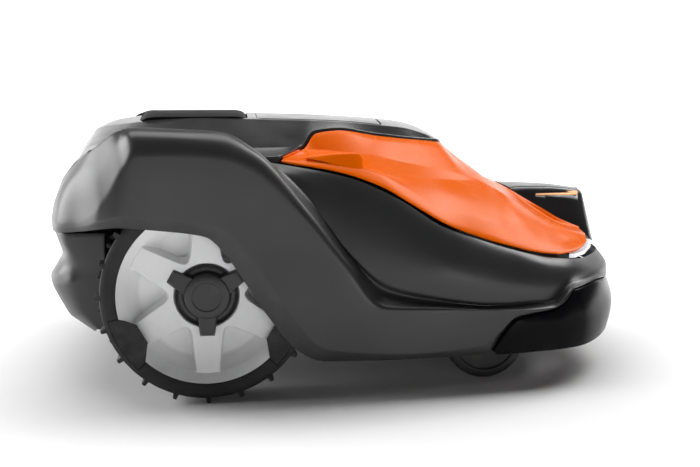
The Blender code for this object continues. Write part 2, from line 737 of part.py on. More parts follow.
def drive_wheel(name, sign):
    centre = (WHEEL_X, 0, WHEEL_RADIUS)
    near, far = TYRE_Y
    span = (sign * near, sign * far) if sign > 0 else (sign * far, sign * near)
    tyre = prism("tyre_" + name, tyre_outline(), span, "Y", RUBBER, at=centre)
    bore_radius = RIM_RADIUS + FIT
    bore = cylinder(
        "tyre_bore_" + name, centre, bore_radius, (-300, 300), "Y", role=CUTTERS, sides=48
    )
    cut(tyre, bore)
    axis = "Y" if sign > 0 else "-Y"
    rim = lathe(
        "rim_" + name, centre,
        [
            (12.4, 226), (12.4, 256), (36, 256), (36, 262), (46, 262), (86, 258), (88, 258),
            (RIM_RADIUS, far), (RIM_RADIUS, near + 2), (92, near + 2), (88, 226),
        ],
        axis, RIM, sides=36,
    )
    for index in range(6):
        pocket = prism(
            "pocket_%s_%d" % (name, index),
            [turned(p, 60 * index) for p in POCKET_OUTLINE],
            (sign * 232, sign * 275) if sign > 0 else (sign * 275, sign * 232),
            "Y", role=CUTTERS, at=centre,
        )
        cut(rim, pocket)
    for index in range(3):
        angle = 120 * index
        body = [turned(p, angle) for p in clip_outline(0.0)]
        space = [turned(p, angle) for p in clip_outline(0.6)]
        clip_span = (sign * 262, sign * (far - 0.2))
        space_span = (sign * 261.4, sign * (far + 8))
        clip = prism(
            "tyre_clip_%s_%d" % (name, index + 1), body, sorted(clip_span), "Y", RUBBER, at=centre
        )
        room = prism(
            "clip_room_%s_%d" % (name, index + 1), space, sorted(space_span), "Y",
            role=CUTTERS, at=centre,
        )
        cut(tyre, room)
        cut(rim, room)
    knob = lathe(
        "hub_knob_" + name, centre,
        [(0, 257), (34, 257), (34, 262), (26, 264), (25, 272), (0, 274)],
        axis, BLACK, sides=32,
    )
    for index, angle in enumerate((30, 150, 270)):
        lobe = prism(
            "lobe_%s_%d" % (name, index),
            [turned(p, angle) for p in ((20, -12), (46, -7.5), (46, 7.5), (20, 12))],
            sorted((sign * 262.4, sign * 267)), "Y", BLACK, at=centre,
        )
        join(knob, lobe)
    cylinder("wheel_axle_" + name, centre, 12.0, (150, 256.6), axis, STEEL, sides=24)
    lathe(
        "drive_motor_" + name, centre,
        [(0, 108), (29, 108), (29, 160), (42, 162), (42, 181.5), (12.4, 181.5), (12.4, 149), (0, 149)],
        axis, DARK, sides=32,
    )


def turned(point, degrees):
    angle = math.radians(degrees)
    x, y = point
    return x * math.cos(angle) - y * math.sin(angle), x * math.sin(angle) + y * math.cos(angle)


# Castors ------------------------------------------------------------------------------------------


def castor(name, sign):
    axis_x, axis_y = CASTOR_AXIS
    stem = (axis_x, sign * axis_y, 0)
    hub = (axis_x - CASTOR_TRAIL, sign * axis_y, CASTOR_RADIUS)
    half = CASTOR_WIDTH / 2
    axis = "Y" if sign > 0 else "-Y"
    lathe(
        "castor_wheel_" + name, hub,
        [
            (5.3, -half), (5.3, half - 2), (20, half), (43, half), (CASTOR_RADIUS, half - 5),
            (CASTOR_RADIUS, -half + 5), (43, -half),
        ],
        axis, RUBBER, sides=32,
    )
    cylinder("castor_axle_" + name, hub, 5.0, (-half - 11, half - 3), axis, STEEL, sides=16)
    arm_span = sorted((sign * (-half - 10), sign * (-half - 1)))
    arm = prism(
        "castor_fork_" + name,
        [(-12, -12), (12, -12), (26, 40), (26, 62), (-16, 62), (-12, 12)],
        arm_span, "Y", DARK, at=hub,
    )
    crown = box(
        "crown_" + name,
        (axis_x - 24, sign * axis_y - 13, 100.5),
        (axis_x + 14, sign * axis_y + 13, 110.0),
        DARK,
    )
    reach = sorted((sign * (axis_y - half - 10), sign * (axis_y - half)))
    web = box("web_" + name, (axis_x - 24, reach[0], 100.5), (axis_x + 14, reach[1], 110.0), DARK)
    post = cylinder("post_" + name, stem, 8.0, (104, 138), mat=DARK, sides=20)
    join(arm, crown, web, post)
    axle_hole = cylinder("axle_hole_" + name, hub, 5.3, (-60, 60), "Y", role=CUTTERS, sides=16)
    cut(arm, axle_hole)


# Chassis ------------------------------------------------------------------------------------------


def chassis():
    outline = mirrored_outline(TUB_OUTLINE)
    tub = prism("chassis_tub", outline, TUB_Z, mat=DARK)
    hollow = prism("tub_hollow", mirrored_outline(TUB_OUTLINE, WALL), (68, 190), role=CUTTERS)
    dome_top = DOME_Z + WALL
    disc = (DISC_X, 0, 0)
    cut(hollow, cylinder("dome_room", disc, 136, (40, dome_top), role=CUTTERS, sides=32))
    for name, sign in SIDES.items():
        stem = (CASTOR_AXIS[0], sign * CASTOR_AXIS[1], 0)
        cut(hollow, cylinder("castor_room_" + name, stem, 70, (40, dome_top), role=CUTTERS, sides=24))
    block = prism("tub_block", mirrored_outline(BLOCK_OUTLINE), (TUB_Z[0], BLOCK_TOP), mat=DARK)
    join(tub, block)
    cut(tub, hollow)
    cut(tub, box("block_hollow", (210, -100, 50), (286, 100, BLOCK_TOP - WALL), role=CUTTERS))
    cut(tub, cylinder("disc_pocket", disc, 132, (50, DOME_Z), role=CUTTERS, sides=36))
    cut(tub, cylinder("motor_hole", disc, 47, (60, 130), role=CUTTERS, sides=32))
    for name, sign in SIDES.items():
        stem = (CASTOR_AXIS[0], sign * CASTOR_AXIS[1], 0)
        axle = (WHEEL_X, sign * 184, WHEEL_RADIUS)
        cut(tub, cylinder("castor_pocket_" + name, stem, 66, (50, DOME_Z), role=CUTTERS, sides=24))
        join(tub, cylinder("castor_boss_" + name, stem, 13, (DOME_Z + 1, 137), sides=20))
        cut(tub, cylinder("castor_bore_" + name, stem, 8.3, (60, 190), role=CUTTERS, sides=16))
        cut(tub, cylinder("axle_port_" + name, axle, 14, (-8, 8), "Y", role=CUTTERS, sides=16))
    seal = prism("chassis_seal", outline, (174.8, 176.2), mat=RUBBER)
    cut(seal, prism("seal_hollow", mirrored_outline(TUB_OUTLINE, WALL), (170, 180), role=CUTTERS))
    lid = prism("chassis_lid", outline, (176.5, 180.5), mat=DARK)
    hump = box("lid_hump", (-270, -126, 178), (56, 126, 262), DARK)
    snout = box("lid_snout", (50, -62, 178), (119, 62, 236), DARK)
    join(lid, hump, snout)
    cut(lid, box("hump_hollow", (-266, -122, 170), (52, 122, 258), role=CUTTERS))
    cut(lid, box("snout_hollow", (40, -58, 170), (115, 58, 232), role=CUTTERS))


def electronics():
    for name, sign in SIDES.items():
        low, high = sorted((sign * 4, sign * 88))
        box("battery_" + name, (-262, low, 70), (-134, high, 140), PACK, bevel=5)
    board = box("main_board", (-230, -90, 200), (-90, 90, 202), BOARD)
    join(
        board,
        box("board_shield", (-215, -60, 201), (-170, -10, 208), STEEL),
        box("board_plug", (-110, 20, 201), (-95, 80, 212), BLACK),
    )
    panel = box("control_panel", (-98, -76, 262.4), (44, 76, 274), BLACK, bevel=2)
    cut(panel, box("glass_room", (-20.4, -50.4, 272), (36.4, 50.4, 280), role=CUTTERS))
    box("display_glass", (-20, -50, 272.4), (36, 50, 275), LENS)
    for index, (name, y) in enumerate((("key_start", 34), ("key_home", -34))):
        at = (-70, y, 0)
        cut(panel, cylinder("room_" + name, at, 12.4, (266, 290), role=CUTTERS, sides=24))
        cylinder(name, at, 12.0, (268.5, 277.5), mat=STOP if index else RIM, sides=24)
    at = (-45, 0, 0)
    cut(panel, cylinder("room_dial", at, 16.4, (266, 290), role=CUTTERS, sides=24))
    cylinder("key_select", at, 16.0, (268.5, 278), mat=DARK, sides=24)


# Cutting unit -------------------------------------------------------------------------------------


BLADE_OUTLINE = [
    (-8, -6), (-4, -9), (27, -9), (30, -6), (30, 6), (27, 9), (-4, 9), (-8, 6),
]


def cutting_unit():
    disc = (DISC_X, 0, 0)
    lathe(
        "blade_motor", disc,
        [
            (6.3, 62), (36, 62), (36, 66.5), (50, 66.5), (50, 71.5), (38, 71.5), (38, 152),
            (28, 158), (0, 158), (0, 78), (6.3, 78),
        ],
        mat=DARK, sides=24,
    )
    carriage = lathe(
        "height_carriage", disc, [(38.3, 138), (48, 138), (48, 152), (38.3, 152)], mat=BLACK, sides=24
    )
    arm = box("carriage_arm", (DISC_X + 44, -12, 138), (DISC_X + 98, 12, 152), BLACK)
    join(carriage, arm)
    screw_at = (DISC_X + 84, 0, 0)
    cut(carriage, cylinder("nut_bore", screw_at, 6.3, (130, 160), role=CUTTERS, sides=16))
    cylinder("height_screw", screw_at, 6.0, (116.6, 196), mat=STEEL, sides=20)
    lathe(
        "height_motor", screw_at,
        [(6.3, 182), (18, 182), (18, 226), (0, 226), (0, 198), (6.3, 198)],
        mat=DARK, sides=24,
    )
    folds = 4
    outer = []
    for fold in range(folds + 1):
        height = 72 + fold * 9.5
        outer.append((48.0, height))
        if fold < folds:
            outer.append((55.0, height + 4.75))
    inner = [(r - 1.6, h) for r, h in reversed(outer)]
    lathe("bellows", disc, outer + inner, mat=RUBBER, sides=20)
    blade_disc = lathe(
        "blade_disc", disc,
        [
            (0, 50), (DISC_RADIUS, 50), (DISC_RADIUS, 53), (34, 53),
            (30, 61.7), (6, 61.7), (6, 76), (0, 76),
        ],
        mat=STEEL, sides=40,
    )
    lathe(
        "skid_plate", disc,
        [(0, 38), (74, 38), (80, 42), (80, 44), (70, 41.5), (18, 41.5), (18, 49.7), (0, 49.7)],
        mat=BLACK, sides=30,
    )
    for index in range(BLADES):
        angle = 360.0 / BLADES * index + 30
        dx, dy = polar(BLADE_PIVOT_RADIUS, angle)
        pivot = (DISC_X + dx, dy, 0)
        hole = cylinder("screw_hole_%d" % index, pivot, 2.8, (48, 56), role=CUTTERS, sides=12)
        cut(blade_disc, hole)
        outline = [turned(p, angle) for p in BLADE_OUTLINE]
        blade = prism("blade_%d" % (index + 1), outline, (47.2, 48.0), mat=STEEL, at=pivot)
        cut(blade, cylinder("blade_hole_%d" % index, pivot, 3.0, (40, 56), role=CUTTERS, sides=16))
        lathe(
            "blade_screw_%d" % (index + 1), pivot,
            [(0, 44.2), (5, 44.2), (5, 46.6), (2.5, 46.6), (2.5, 52.5), (0, 52.5)],
            mat=STEEL, sides=12,
        )


def float_frame():
    """The frame that carries the shell: a flat ring round the lid's hump with four posts."""
    frame = box("float_frame", (-286, -150, 183), (134, 150, 188), BLACK)
    cut(frame, box("frame_room", (-280, -136, 180), (128, 136, 195), role=CUTTERS))
    for name, sign in SIDES.items():
        for end, x, height in (("rear", -240, 284.5), ("front", 96, 222)):
            post = cylinder(
                "float_post_" + end + "_" + name,
                (x, sign * 142, 0),
                6.0,
                (185, height),
                mat=BLACK,
                sides=16,
            )
            join(frame, post)


def hatch_pin():
    cylinder("hatch_pin", HINGE, PIN_RADIUS, (-71, 71), "Y", STEEL, sides=12)


body_shell()
top_cover()
top_deck()
nose_cover()
front_bumper()
rear_skirt()
stop_button()
headlights()
hatch_pin()
float_frame()
chassis()
electronics()
cutting_unit()
for side, side_sign in SIDES.items():
    drive_wheel(side, side_sign)
    castor(side, side_sign)
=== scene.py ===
"""Looks of the robotic lawn mower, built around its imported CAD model.

Sizes are in millimetres and MM turns them into metres. The sculpted covers are the CAD covers' own
guide curves, lofted finely with rounded edges. The stop button and the wheels are built again more
finely too, and every other CAD node keeps its shape.
"""

import math

import bmesh
import bpy
import numpy as np
from mathutils import Matrix, Vector


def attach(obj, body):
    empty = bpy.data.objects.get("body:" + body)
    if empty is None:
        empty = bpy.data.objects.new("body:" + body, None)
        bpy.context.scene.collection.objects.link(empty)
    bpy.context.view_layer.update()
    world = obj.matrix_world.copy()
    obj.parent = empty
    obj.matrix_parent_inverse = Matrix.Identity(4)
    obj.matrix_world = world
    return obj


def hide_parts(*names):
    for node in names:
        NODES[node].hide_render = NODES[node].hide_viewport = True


MM = 0.001
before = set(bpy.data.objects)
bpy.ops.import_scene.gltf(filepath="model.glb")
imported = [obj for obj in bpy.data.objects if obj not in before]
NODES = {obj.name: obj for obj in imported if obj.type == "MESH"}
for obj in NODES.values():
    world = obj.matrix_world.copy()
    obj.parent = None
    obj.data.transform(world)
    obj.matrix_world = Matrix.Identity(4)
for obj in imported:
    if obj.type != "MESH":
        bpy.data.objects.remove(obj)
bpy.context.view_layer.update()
SIDES = {"right": -1.0, "left": 1.0}

WHEEL_RADIUS = 122.5
WHEEL_HUB = (-172.0, 0.0, WHEEL_RADIUS)
RIM_RADIUS = 99.2
TYRE_Y = (208.0, 268.0)
CASTOR_HUB = (161.0, 190.0, 48.0)


# Materials ----------------------------------------------------------------------------------------


class Shader:
    """A Principled material with the few node recipes that this file uses."""

    def __init__(self, name, **sockets):
        self.material = bpy.data.materials.new(name)
        self.material.use_nodes = True
        tree = self.material.node_tree
        self.nodes, self.links = tree.nodes, tree.links
        self.bsdf = self.nodes["Principled BSDF"]
        self.place = self.nodes.new("ShaderNodeTexCoord").outputs["Object"]
        for socket, value in sockets.items():
            self.bsdf.inputs[socket.replace("_", " ")].default_value = value

    def new(self, kind, **values):
        node = self.nodes.new("ShaderNode" + kind)
        for name, value in values.items():
            if hasattr(node, name):
                setattr(node, name, value)
            else:
                node.inputs[name.replace("_", " ")].default_value = value
        return node

    def noise(self, scale, detail=3.0, stretch=None):
        node = self.new("TexNoise", Scale=scale, Detail=detail)
        source = self.place
        if stretch:
            mapping = self.new("Mapping")
            mapping.inputs["Scale"].default_value = stretch
            self.links.new(source, mapping.inputs["Vector"])
            source = mapping.outputs["Vector"]
        self.links.new(source, node.inputs["Vector"])
        return node.outputs["Fac"]

    def spread(self, source, low, high, out_low=0.0, out_high=1.0):
        node = self.new("MapRange", From_Min=low, From_Max=high, To_Min=out_low, To_Max=out_high)
        self.links.new(source, node.inputs["Value"])
        return node.outputs["Result"]

    def times(self, first, second):
        node = self.new("Math", operation="MULTIPLY")
        self.links.new(first, node.inputs[0])
        if isinstance(second, float):
            node.inputs[1].default_value = second
        else:
            self.links.new(second, node.inputs[1])
        return node.outputs[0]

    def blend(self, share, first, second):
        """Colour first where share is 0 and second where it is 1; each is a colour or a socket."""
        node = self.new("Mix", data_type="RGBA")
        self.links.new(share, node.inputs[0])
        for index, colour in ((6, first), (7, second)):
            if isinstance(colour, tuple):
                node.inputs[index].default_value = (*colour, 1.0)
            else:
                self.links.new(colour, node.inputs[index])
        return node.outputs[2]

    def bump(self, height, strength, distance):
        """Adds a bump on top of those already there."""
        node = self.new("Bump", Strength=strength, Distance=distance)
        before = self.bsdf.inputs["Normal"].links
        if before:
            self.links.new(before[0].from_socket, node.inputs["Normal"])
        self.links.new(height, node.inputs["Height"])
        self.links.new(node.outputs["Normal"], self.bsdf.inputs["Normal"])

    def edges(self, low=0.52, high=0.6):
        """Where the surface has a sharp outer edge, broken up by noise."""
        shape = self.spread(self.new("NewGeometry").outputs["Pointiness"], low, high)
        return self.times(shape, self.spread(self.noise(60.0, 5.0), 0.42, 0.62))


def scaled(colour, share):
    return tuple(channel * share for channel in colour)


UNEVEN_GLOSS = 0.05


def plastic(name, colour, roughness, grain=(900.0, 0.12, 0.0002), mottle=0.08, wear=0.25,
            dust=0.05, specular=0.5, coat=0.0, tint=(1, 1, 1)):
    """Moulded plastic: fine grain, slight clouding, uneven gloss, rubbed edges and some low dust."""
    made = Shader(
        name, Specular_IOR_Level=specular, Specular_Tint=(*tint, 1.0), Coat_Weight=coat,
        Coat_Roughness=0.1,
    )
    cloud = made.spread(made.noise(7.0, 4.0), 0.3, 0.7)
    base = made.blend(cloud, scaled(colour, 1 - mottle), scaled(colour, 1 + mottle))
    worn = made.times(made.edges(), wear)
    pale = tuple(channel * 0.6 + 0.12 for channel in colour)
    base = made.blend(worn, base, pale)
    height = made.new("SeparateXYZ")
    made.links.new(made.place, height.inputs[0])
    low = made.spread(height.outputs["Z"], 0.13, 0.03)
    dusty = made.times(made.times(low, made.spread(made.noise(38.0, 6.0), 0.45, 0.7)), dust)
    base = made.blend(dusty, base, (0.22, 0.19, 0.15))
    made.links.new(base, made.bsdf.inputs["Base Color"])
    rough = made.spread(
        made.noise(24.0, 5.0), 0.3, 0.7, roughness - UNEVEN_GLOSS, roughness + UNEVEN_GLOSS
    )
    made.links.new(rough, made.bsdf.inputs["Roughness"])
    made.bump(made.noise(14.0, 2.0), 0.05, 0.001)
    made.bump(made.noise(grain[0], 2.0), grain[1], grain[2])
    return made.material


def metal(name, colour, roughness, stretch=(30.0, 30.0, 900.0), scratch=0.15):
    """Brushed metal: fine lines along one direction, faint stains and bright edges."""
    made = Shader(name, Metallic=1.0)
    stain = made.spread(made.noise(26.0, 6.0), 0.35, 0.75)
    base = made.blend(stain, scaled(colour, 1.06), scaled(colour, 0.8))
    base = made.blend(made.times(made.edges(0.51, 0.58), 0.5), base, scaled(colour, 1.35))
    made.links.new(base, made.bsdf.inputs["Base Color"])
    lines = made.noise(1.0, 4.0, stretch)
    rough = made.spread(lines, 0.3, 0.7, roughness - 0.08, roughness + 0.12)
    made.links.new(rough, made.bsdf.inputs["Roughness"])
    made.bump(lines, scratch, 0.0001)
    return made.material


def rubber(name, colour, roughness=0.75):
    """Rubber: a matt, slightly pitted skin with grey bloom."""
    made = Shader(name, Specular_IOR_Level=0.3)
    bloom = made.spread(made.noise(18.0, 6.0), 0.4, 0.75)
    base = made.blend(bloom, scaled(colour, 0.9), tuple(channel + 0.008 for channel in colour))
    base = made.blend(made.times(made.edges(), 0.35), base, (0.06, 0.058, 0.055))
    made.links.new(base, made.bsdf.inputs["Base Color"])
    made.links.new(
        made.spread(made.noise(70.0, 4.0), 0.3, 0.7, roughness - 0.1, roughness + 0.1),
        made.bsdf.inputs["Roughness"],
    )
    made.bump(made.noise(420.0, 3.0), 0.25, 0.0003)
    return made.material


def circuit():
    """A green board with faint tracks in a square pattern."""
    made = Shader("circuit_board", Roughness=0.4)
    brick = made.new("TexBrick", Scale=60.0, Mortar_Size=0.03)
    made.links.new(made.place, brick.inputs["Vector"])
    brick.inputs["Color1"].default_value = (0.01, 0.085, 0.035, 1)
    brick.inputs["Color2"].default_value = (0.014, 0.12, 0.05, 1)
    brick.inputs["Mortar"].default_value = (0.3, 0.22, 0.08, 1)
    made.links.new(brick.outputs["Color"], made.bsdf.inputs["Base Color"])
    made.bump(brick.outputs["Fac"], 0.3, 0.0002)
    return made.material


def wrap():
    """Plain shrink wrap over battery cells: ribbed by the cells beneath."""
    made = Shader("battery_wrap", Coat_Weight=0.4)
    wave = made.new("TexWave", Scale=28.0, Distortion=0.4)
    made.links.new(made.place, wave.inputs["Vector"])
    cloud = made.spread(made.noise(12.0, 4.0), 0.3, 0.7)
    base = made.blend(cloud, (0.016, 0.04, 0.09), (0.03, 0.07, 0.14))
    made.links.new(base, made.bsdf.inputs["Base Color"])
    rough = made.spread(made.noise(30.0, 3.0), 0.3, 0.7, 0.28, 0.45)
    made.links.new(rough, made.bsdf.inputs["Roughness"])
    made.bump(wave.outputs["Fac"], 0.5, 0.002)
    return made.material


def lens(name, colour, transmission, emission=0.0):
    """Moulded clear lens with faint flutes and dust."""
    made = Shader(name, Transmission_Weight=transmission, Emission_Strength=emission)
    base = made.blend(made.spread(made.noise(40.0, 5.0), 0.4, 0.7), colour, scaled(colour, 0.85))
    made.links.new(base, made.bsdf.inputs["Base Color"])
    if emission:
        made.bsdf.inputs["Emission Color"].default_value = (*colour, 1.0)
    rough = made.spread(made.noise(55.0, 4.0), 0.35, 0.7, 0.06, 0.2)
    made.links.new(rough, made.bsdf.inputs["Roughness"])
    made.bump(made.noise(1.0, 2.0, (260.0, 260.0, 12.0)), 0.2, 0.0004)
    return made.material


BODY = plastic("body_plastic", (0.024, 0.024, 0.025), 0.36, wear=0.05, dust=0.03, specular=0.45)
ORANGE = plastic(
    "orange_gloss", (0.86, 0.132, 0.0012), 0.26, grain=(500.0, 0.03, 0.0002), mottle=0.03, wear=0.0,
    dust=0.0, specular=0.1, tint=(1.0, 0.42, 0.12),
)
DECK = plastic(
    "deck_gloss", (0.02, 0.02, 0.021), 0.22, grain=(600.0, 0.04, 0.0002), wear=0.1, dust=0.0, coat=0.2
)
BLACK = plastic(
    "black_gloss", (0.004, 0.004, 0.005), 0.22, grain=(700.0, 0.06, 0.0002), wear=0.03, dust=0.015,
    specular=0.05,
)
NOSE = plastic(
    "nose_gloss", (0.014, 0.014, 0.015), 0.25, grain=(700.0, 0.05, 0.0002), wear=0.1, dust=0.0
)
RIM = plastic(
    "rim_silver", (0.78, 0.78, 0.785), 0.42, grain=(1600.0, 0.1, 0.0001), mottle=0.05, wear=0.3,
    dust=0.15,
)
KNOB = plastic("knob_black", (0.022, 0.022, 0.023), 0.42, wear=0.12, dust=0.1)
CHASSIS = plastic(
    "chassis_plastic", (0.018, 0.018, 0.019), 0.55, grain=(500.0, 0.3, 0.0003), dust=0.35
)
CASE = plastic("motor_case", (0.045, 0.046, 0.048), 0.38, grain=(300.0, 0.2, 0.0002), wear=0.4)
CASTOR = plastic("castor_plastic", (0.016, 0.016, 0.017), 0.5, grain=(400.0, 0.2, 0.0002), dust=0.2)
KEYS = plastic("key_plastic", (0.26, 0.26, 0.27), 0.4)
STOP = plastic(
    "stop_black", (0.006, 0.006, 0.007), 0.55, grain=(450.0, 0.35, 0.0003), dust=0.0, specular=0.12
)
TYRE = rubber("tyre_rubber", (0.018, 0.018, 0.019), 0.62)
SEAL = rubber("seal_rubber", (0.016, 0.016, 0.016), 0.8)
STEEL = metal("steel", (0.56, 0.56, 0.57), 0.3)
COPPER = metal("copper", (0.75, 0.36, 0.18), 0.28, (900.0, 30.0, 30.0))
LENS = lens("headlight_lens", (0.9, 0.92, 0.95), 0.35, 0.25)
GLASS = lens("display_glass", (0.05, 0.06, 0.07), 0.2)
BOARD = circuit()
WRAP = wrap()

FINISHES = {
    "body_shell": BODY, "rear_skirt": BODY, "top_cover": ORANGE, "top_deck": DECK, "hatch_lid": DECK,
    "nose_cover": NOSE, "front_bumper": BLACK, "stop_button": STOP, "headlight": LENS,
    "charge_strip": COPPER, "display_glass": GLASS, "main_board": BOARD, "battery": WRAP,
    "chassis_seal": SEAL, "bellows": SEAL, "tyre": TYRE, "rim": RIM, "hub_knob": KNOB, "key": KEYS,
    "drive_motor": CASE, "height_motor": CASE, "blade_motor": CASE, "castor_wheel": CASTOR,
    "chassis": CHASSIS, "float_frame": CHASSIS, "height_carriage": CHASSIS, "skid_plate": CHASSIS,
    "castor_fork": CHASSIS, "control_panel": CHASSIS,
}


def finish_of(node):
    """The material of a CAD node: the longest name in FINISHES that the node's name starts with."""
    found = [name for name in FINISHES if node.startswith(name)]
    return FINISHES[max(found, key=len)] if found else STEEL


for name, node in NODES.items():
    node.data.materials.clear()
    node.data.materials.append(finish_of(name))
    if not node.data.vertices:
        continue
    edge = node.modifiers.new("soft_edges", "BEVEL")
    edge.width = 0.4 * MM
    edge.segments = 2
    edge.limit_method = "ANGLE"
    edge.angle_limit = math.radians(40)


# Building helpers ---------------------------------------------------------------------------------


def piece(name, bm, finish, body, replaced=(), at=(0, 0, 0), angle=40.0):
    """A finished piece from a bmesh in millimetres, riding on a CAD body in place of some nodes."""
    bmesh.ops.remove_doubles(bm, verts=bm.verts, dist=1e-4)
    bmesh.ops.recalc_face_normals(bm, faces=bm.faces)
    bmesh.ops.scale(bm, vec=(MM, MM, MM), verts=bm.verts)
    bmesh.ops.translate(bm, vec=Vector(at) * MM, verts=bm.verts)
    data = bpy.data.meshes.new(name)
    bm.to_mesh(data)
    bm.free()
    made = bpy.data.objects.new(name, data)
    bpy.context.scene.collection.objects.link(made)
    if finish:
        data.materials.append(finish)
    data.shade_smooth()
    data.set_sharp_from_angle(angle=math.radians(angle))
    if body:
        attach(made, body)
        if replaced:
            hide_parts(*replaced)
    return made


def bevel(made, width, segments=2, angle=35.0):
    edge = made.modifiers.new("rounding", "BEVEL")
    edge.width = width * MM
    edge.segments = segments
    edge.limit_method = "ANGLE"
    edge.angle_limit = math.radians(angle)
    return made


def cutter(name, bm):
    made = piece(name, bm, None, None)
    made.hide_render = True
    made.hide_viewport = True
    return made


def cut(made, other, operation="DIFFERENCE"):
    step = made.modifiers.new(operation.lower(), "BOOLEAN")
    step.operation = operation
    step.object = other
    step.solver = "EXACT"


def bake(made):
    """Applies the modifiers, so that the helpers they use can go."""
    graph = bpy.context.evaluated_depsgraph_get()
    final = bpy.data.meshes.new_from_object(made.evaluated_get(graph))
    made.modifiers.clear()
    made.data = final


def grid_faces(bm, rows, closed=False):
    """Faces between rows of points; closed joins the last column to the first."""
    made = [[bm.verts.new(point) for point in row] for row in rows]
    columns = len(rows[0])
    for upper, lower in zip(made, made[1:]):
        for index in range(columns if closed else columns - 1):
            after = (index + 1) % columns
            bm.faces.new((upper[index], lower[index], lower[after], upper[after]))
    return made


def slopes(knots, values):
    """Slopes at the knots that keep a cubic through the values from overshooting."""
    steps = np.diff(knots)
    rises = np.diff(values) / steps
    made = np.zeros_like(values)
    made[0], made[-1] = rises[0], rises[-1]
    for k in range(1, len(knots) - 1):
        if rises[k - 1] * rises[k] > 0:
            a = 2 * steps[k] + steps[k - 1]
            b = steps[k] + 2 * steps[k - 1]
            made[k] = (a + b) / (a / rises[k - 1] + b / rises[k])
    return made


CROWN_RISE = 8.5
CROWN_HALF_WIDTH = 262.0


def crowned(points):
    """The points with the middle of the body raised; the guide curves' heights leave this out."""
    share = np.clip(1 - np.abs(points[:, 1]) / CROWN_HALF_WIDTH, 0, None)
    points[:, 2] += CROWN_RISE * share
    return points


def guide(points, stations):
    """Points of a smooth curve at the stations; each of its own points is (station, x, y, z)."""
    table = np.array(points, float)
    knots = table[:, 0]
    found = []
    for column in (1, 2, 3):
        values = table[:, column]
        tangents = slopes(knots, values)
        spans = np.clip(np.searchsorted(knots, stations, side="right") - 1, 0, len(knots) - 2)
        width = knots[spans + 1] - knots[spans]
        t = (stations - knots[spans]) / width
        found.append(
            (2 * t**3 - 3 * t**2 + 1) * values[spans]
            + (t**3 - 2 * t**2 + t) * width * tangents[spans]
            + (3 * t**2 - 2 * t**3) * values[spans + 1]
            + (t**3 - t**2) * width * tangents[spans + 1]
        )
    return crowned(np.stack(found, axis=1))


def between(first, second, share, push=(0, 0, 0)):
    return first * (1 - share) + second * share + np.array(push, float)


def rounded(rows, radii, steps=4):
    """The rows with each inner corner replaced by a curve that starts radius away from it."""
    made = [rows[0]]
    for before, here, after, radius in zip(rows, rows[1:], rows[2:], radii):
        ends = []
        for other in (before, after):
            away = other - here
            length = np.maximum(np.linalg.norm(away, axis=1, keepdims=True), 1e-6)
            ends.append(here + away / length * np.minimum(radius, 0.49 * length))
        for step in range(steps + 1):
            t = step / steps
            made.append((1 - t) ** 2 * ends[0] + 2 * t * (1 - t) * here + t**2 * ends[1])
    made.append(rows[-1])
    return made


SOFT = 1e3


def skin(name, rows, finish, body, replaced=(), thickness=2.2, rim=0.5):
    """A thin shell through rows of points of the right half, mirrored to the left."""
    bm = bmesh.new()
    flat = [[(x, 0.0 if abs(y) < 1.5 else y, z) for x, y, z in row] for row in rows]
    grid_faces(bm, flat)
    bmesh.ops.scale(bm, vec=(MM, MM, MM), verts=bm.verts)
    bmesh.ops.remove_doubles(bm, verts=bm.verts, dist=1e-5)
    data = bpy.data.meshes.new(name)
    bm.to_mesh(data)
    bm.free()
    made = bpy.data.objects.new(name, data)
    bpy.context.scene.collection.objects.link(made)
    data.materials.append(finish)
    both = made.modifiers.new("both_sides", "MIRROR")
    both.use_axis = (False, True, False)
    both.merge_threshold = 0.0001
    wall = made.modifiers.new("wall", "SOLIDIFY")
    wall.thickness = thickness * MM
    wall.offset = -1.0
    data.shade_smooth()
    data.set_sharp_from_angle(angle=math.radians(50))
    if rim:
        bevel(made, rim, 2, 60.0)
    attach(made, body)
    if replaced:
        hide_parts(*replaced)
    return made


# Body shell ---------------------------------------------------------------------------------------

# Each guide curve's points are (station, x, y, z), as in the CAD model. On the body, station 0 is the
# middle of the back and station 20 the middle of the front; the other covers count their own.
SEAM = [
    (0, -344, 0, 241), (1, -333, -130, 246), (2, -312, -190, 269), (3, -299, -212, 277),
    (4, -285, -221, 275), (5, -265, -226, 272), (7, -193, -230, 270), (9, -118, -231, 268),
    (10, -62, -231, 259), (11, -8, -231, 247), (12, 47, -236, 223), (13, 100, -240, 190),
    (14, 146, -236, 173), (15, 188, -228, 159), (16, 232, -211, 146.5), (17, 264, -196, 141),
    (18, 296, -160, 135), (19, 340, -78, 131), (20, 350, 0, 127),
]
SHOULDER = [
    (9, -115, -236, 268), (10, -64, -238, 253), (11, -12, -241, 226), (12, 42, -247, 203),
    (13, 98, -252, 170), (14, 150, -247, 158), (15, 190, -238, 147), (16, 234, -223, 139),
    (17, 266, -205, 134), (18, 299, -168, 130), (19, 343, -84, 126), (20, 353, 0, 122),
]
BULGE = [
    (9, -112, -240, 269), (10, -64, -243, 246), (11, -15, -249, 198), (12, 39, -256, 163),
    (13, 97, -262, 143), (14, 151, -257, 131), (15, 191, -248, 124), (16, 235, -233, 120),
    (17, 266, -212, 125), (18, 302, -176, 124), (19, 347, -92, 119), (20, 357, 0, 116),
]
LIP = [
    (9, -110, -244, 272), (10, -62, -246, 235), (11, -13, -253, 166), (12, 32, -256, 128),
    (13, 94, -258, 111), (14, 152, -254, 102), (15, 190, -246, 100), (16, 233, -234, 101),
    (17, 262, -220, 120), (18, 301, -182, 121), (19, 347, -97, 115), (20, 358, 0, 112),
]
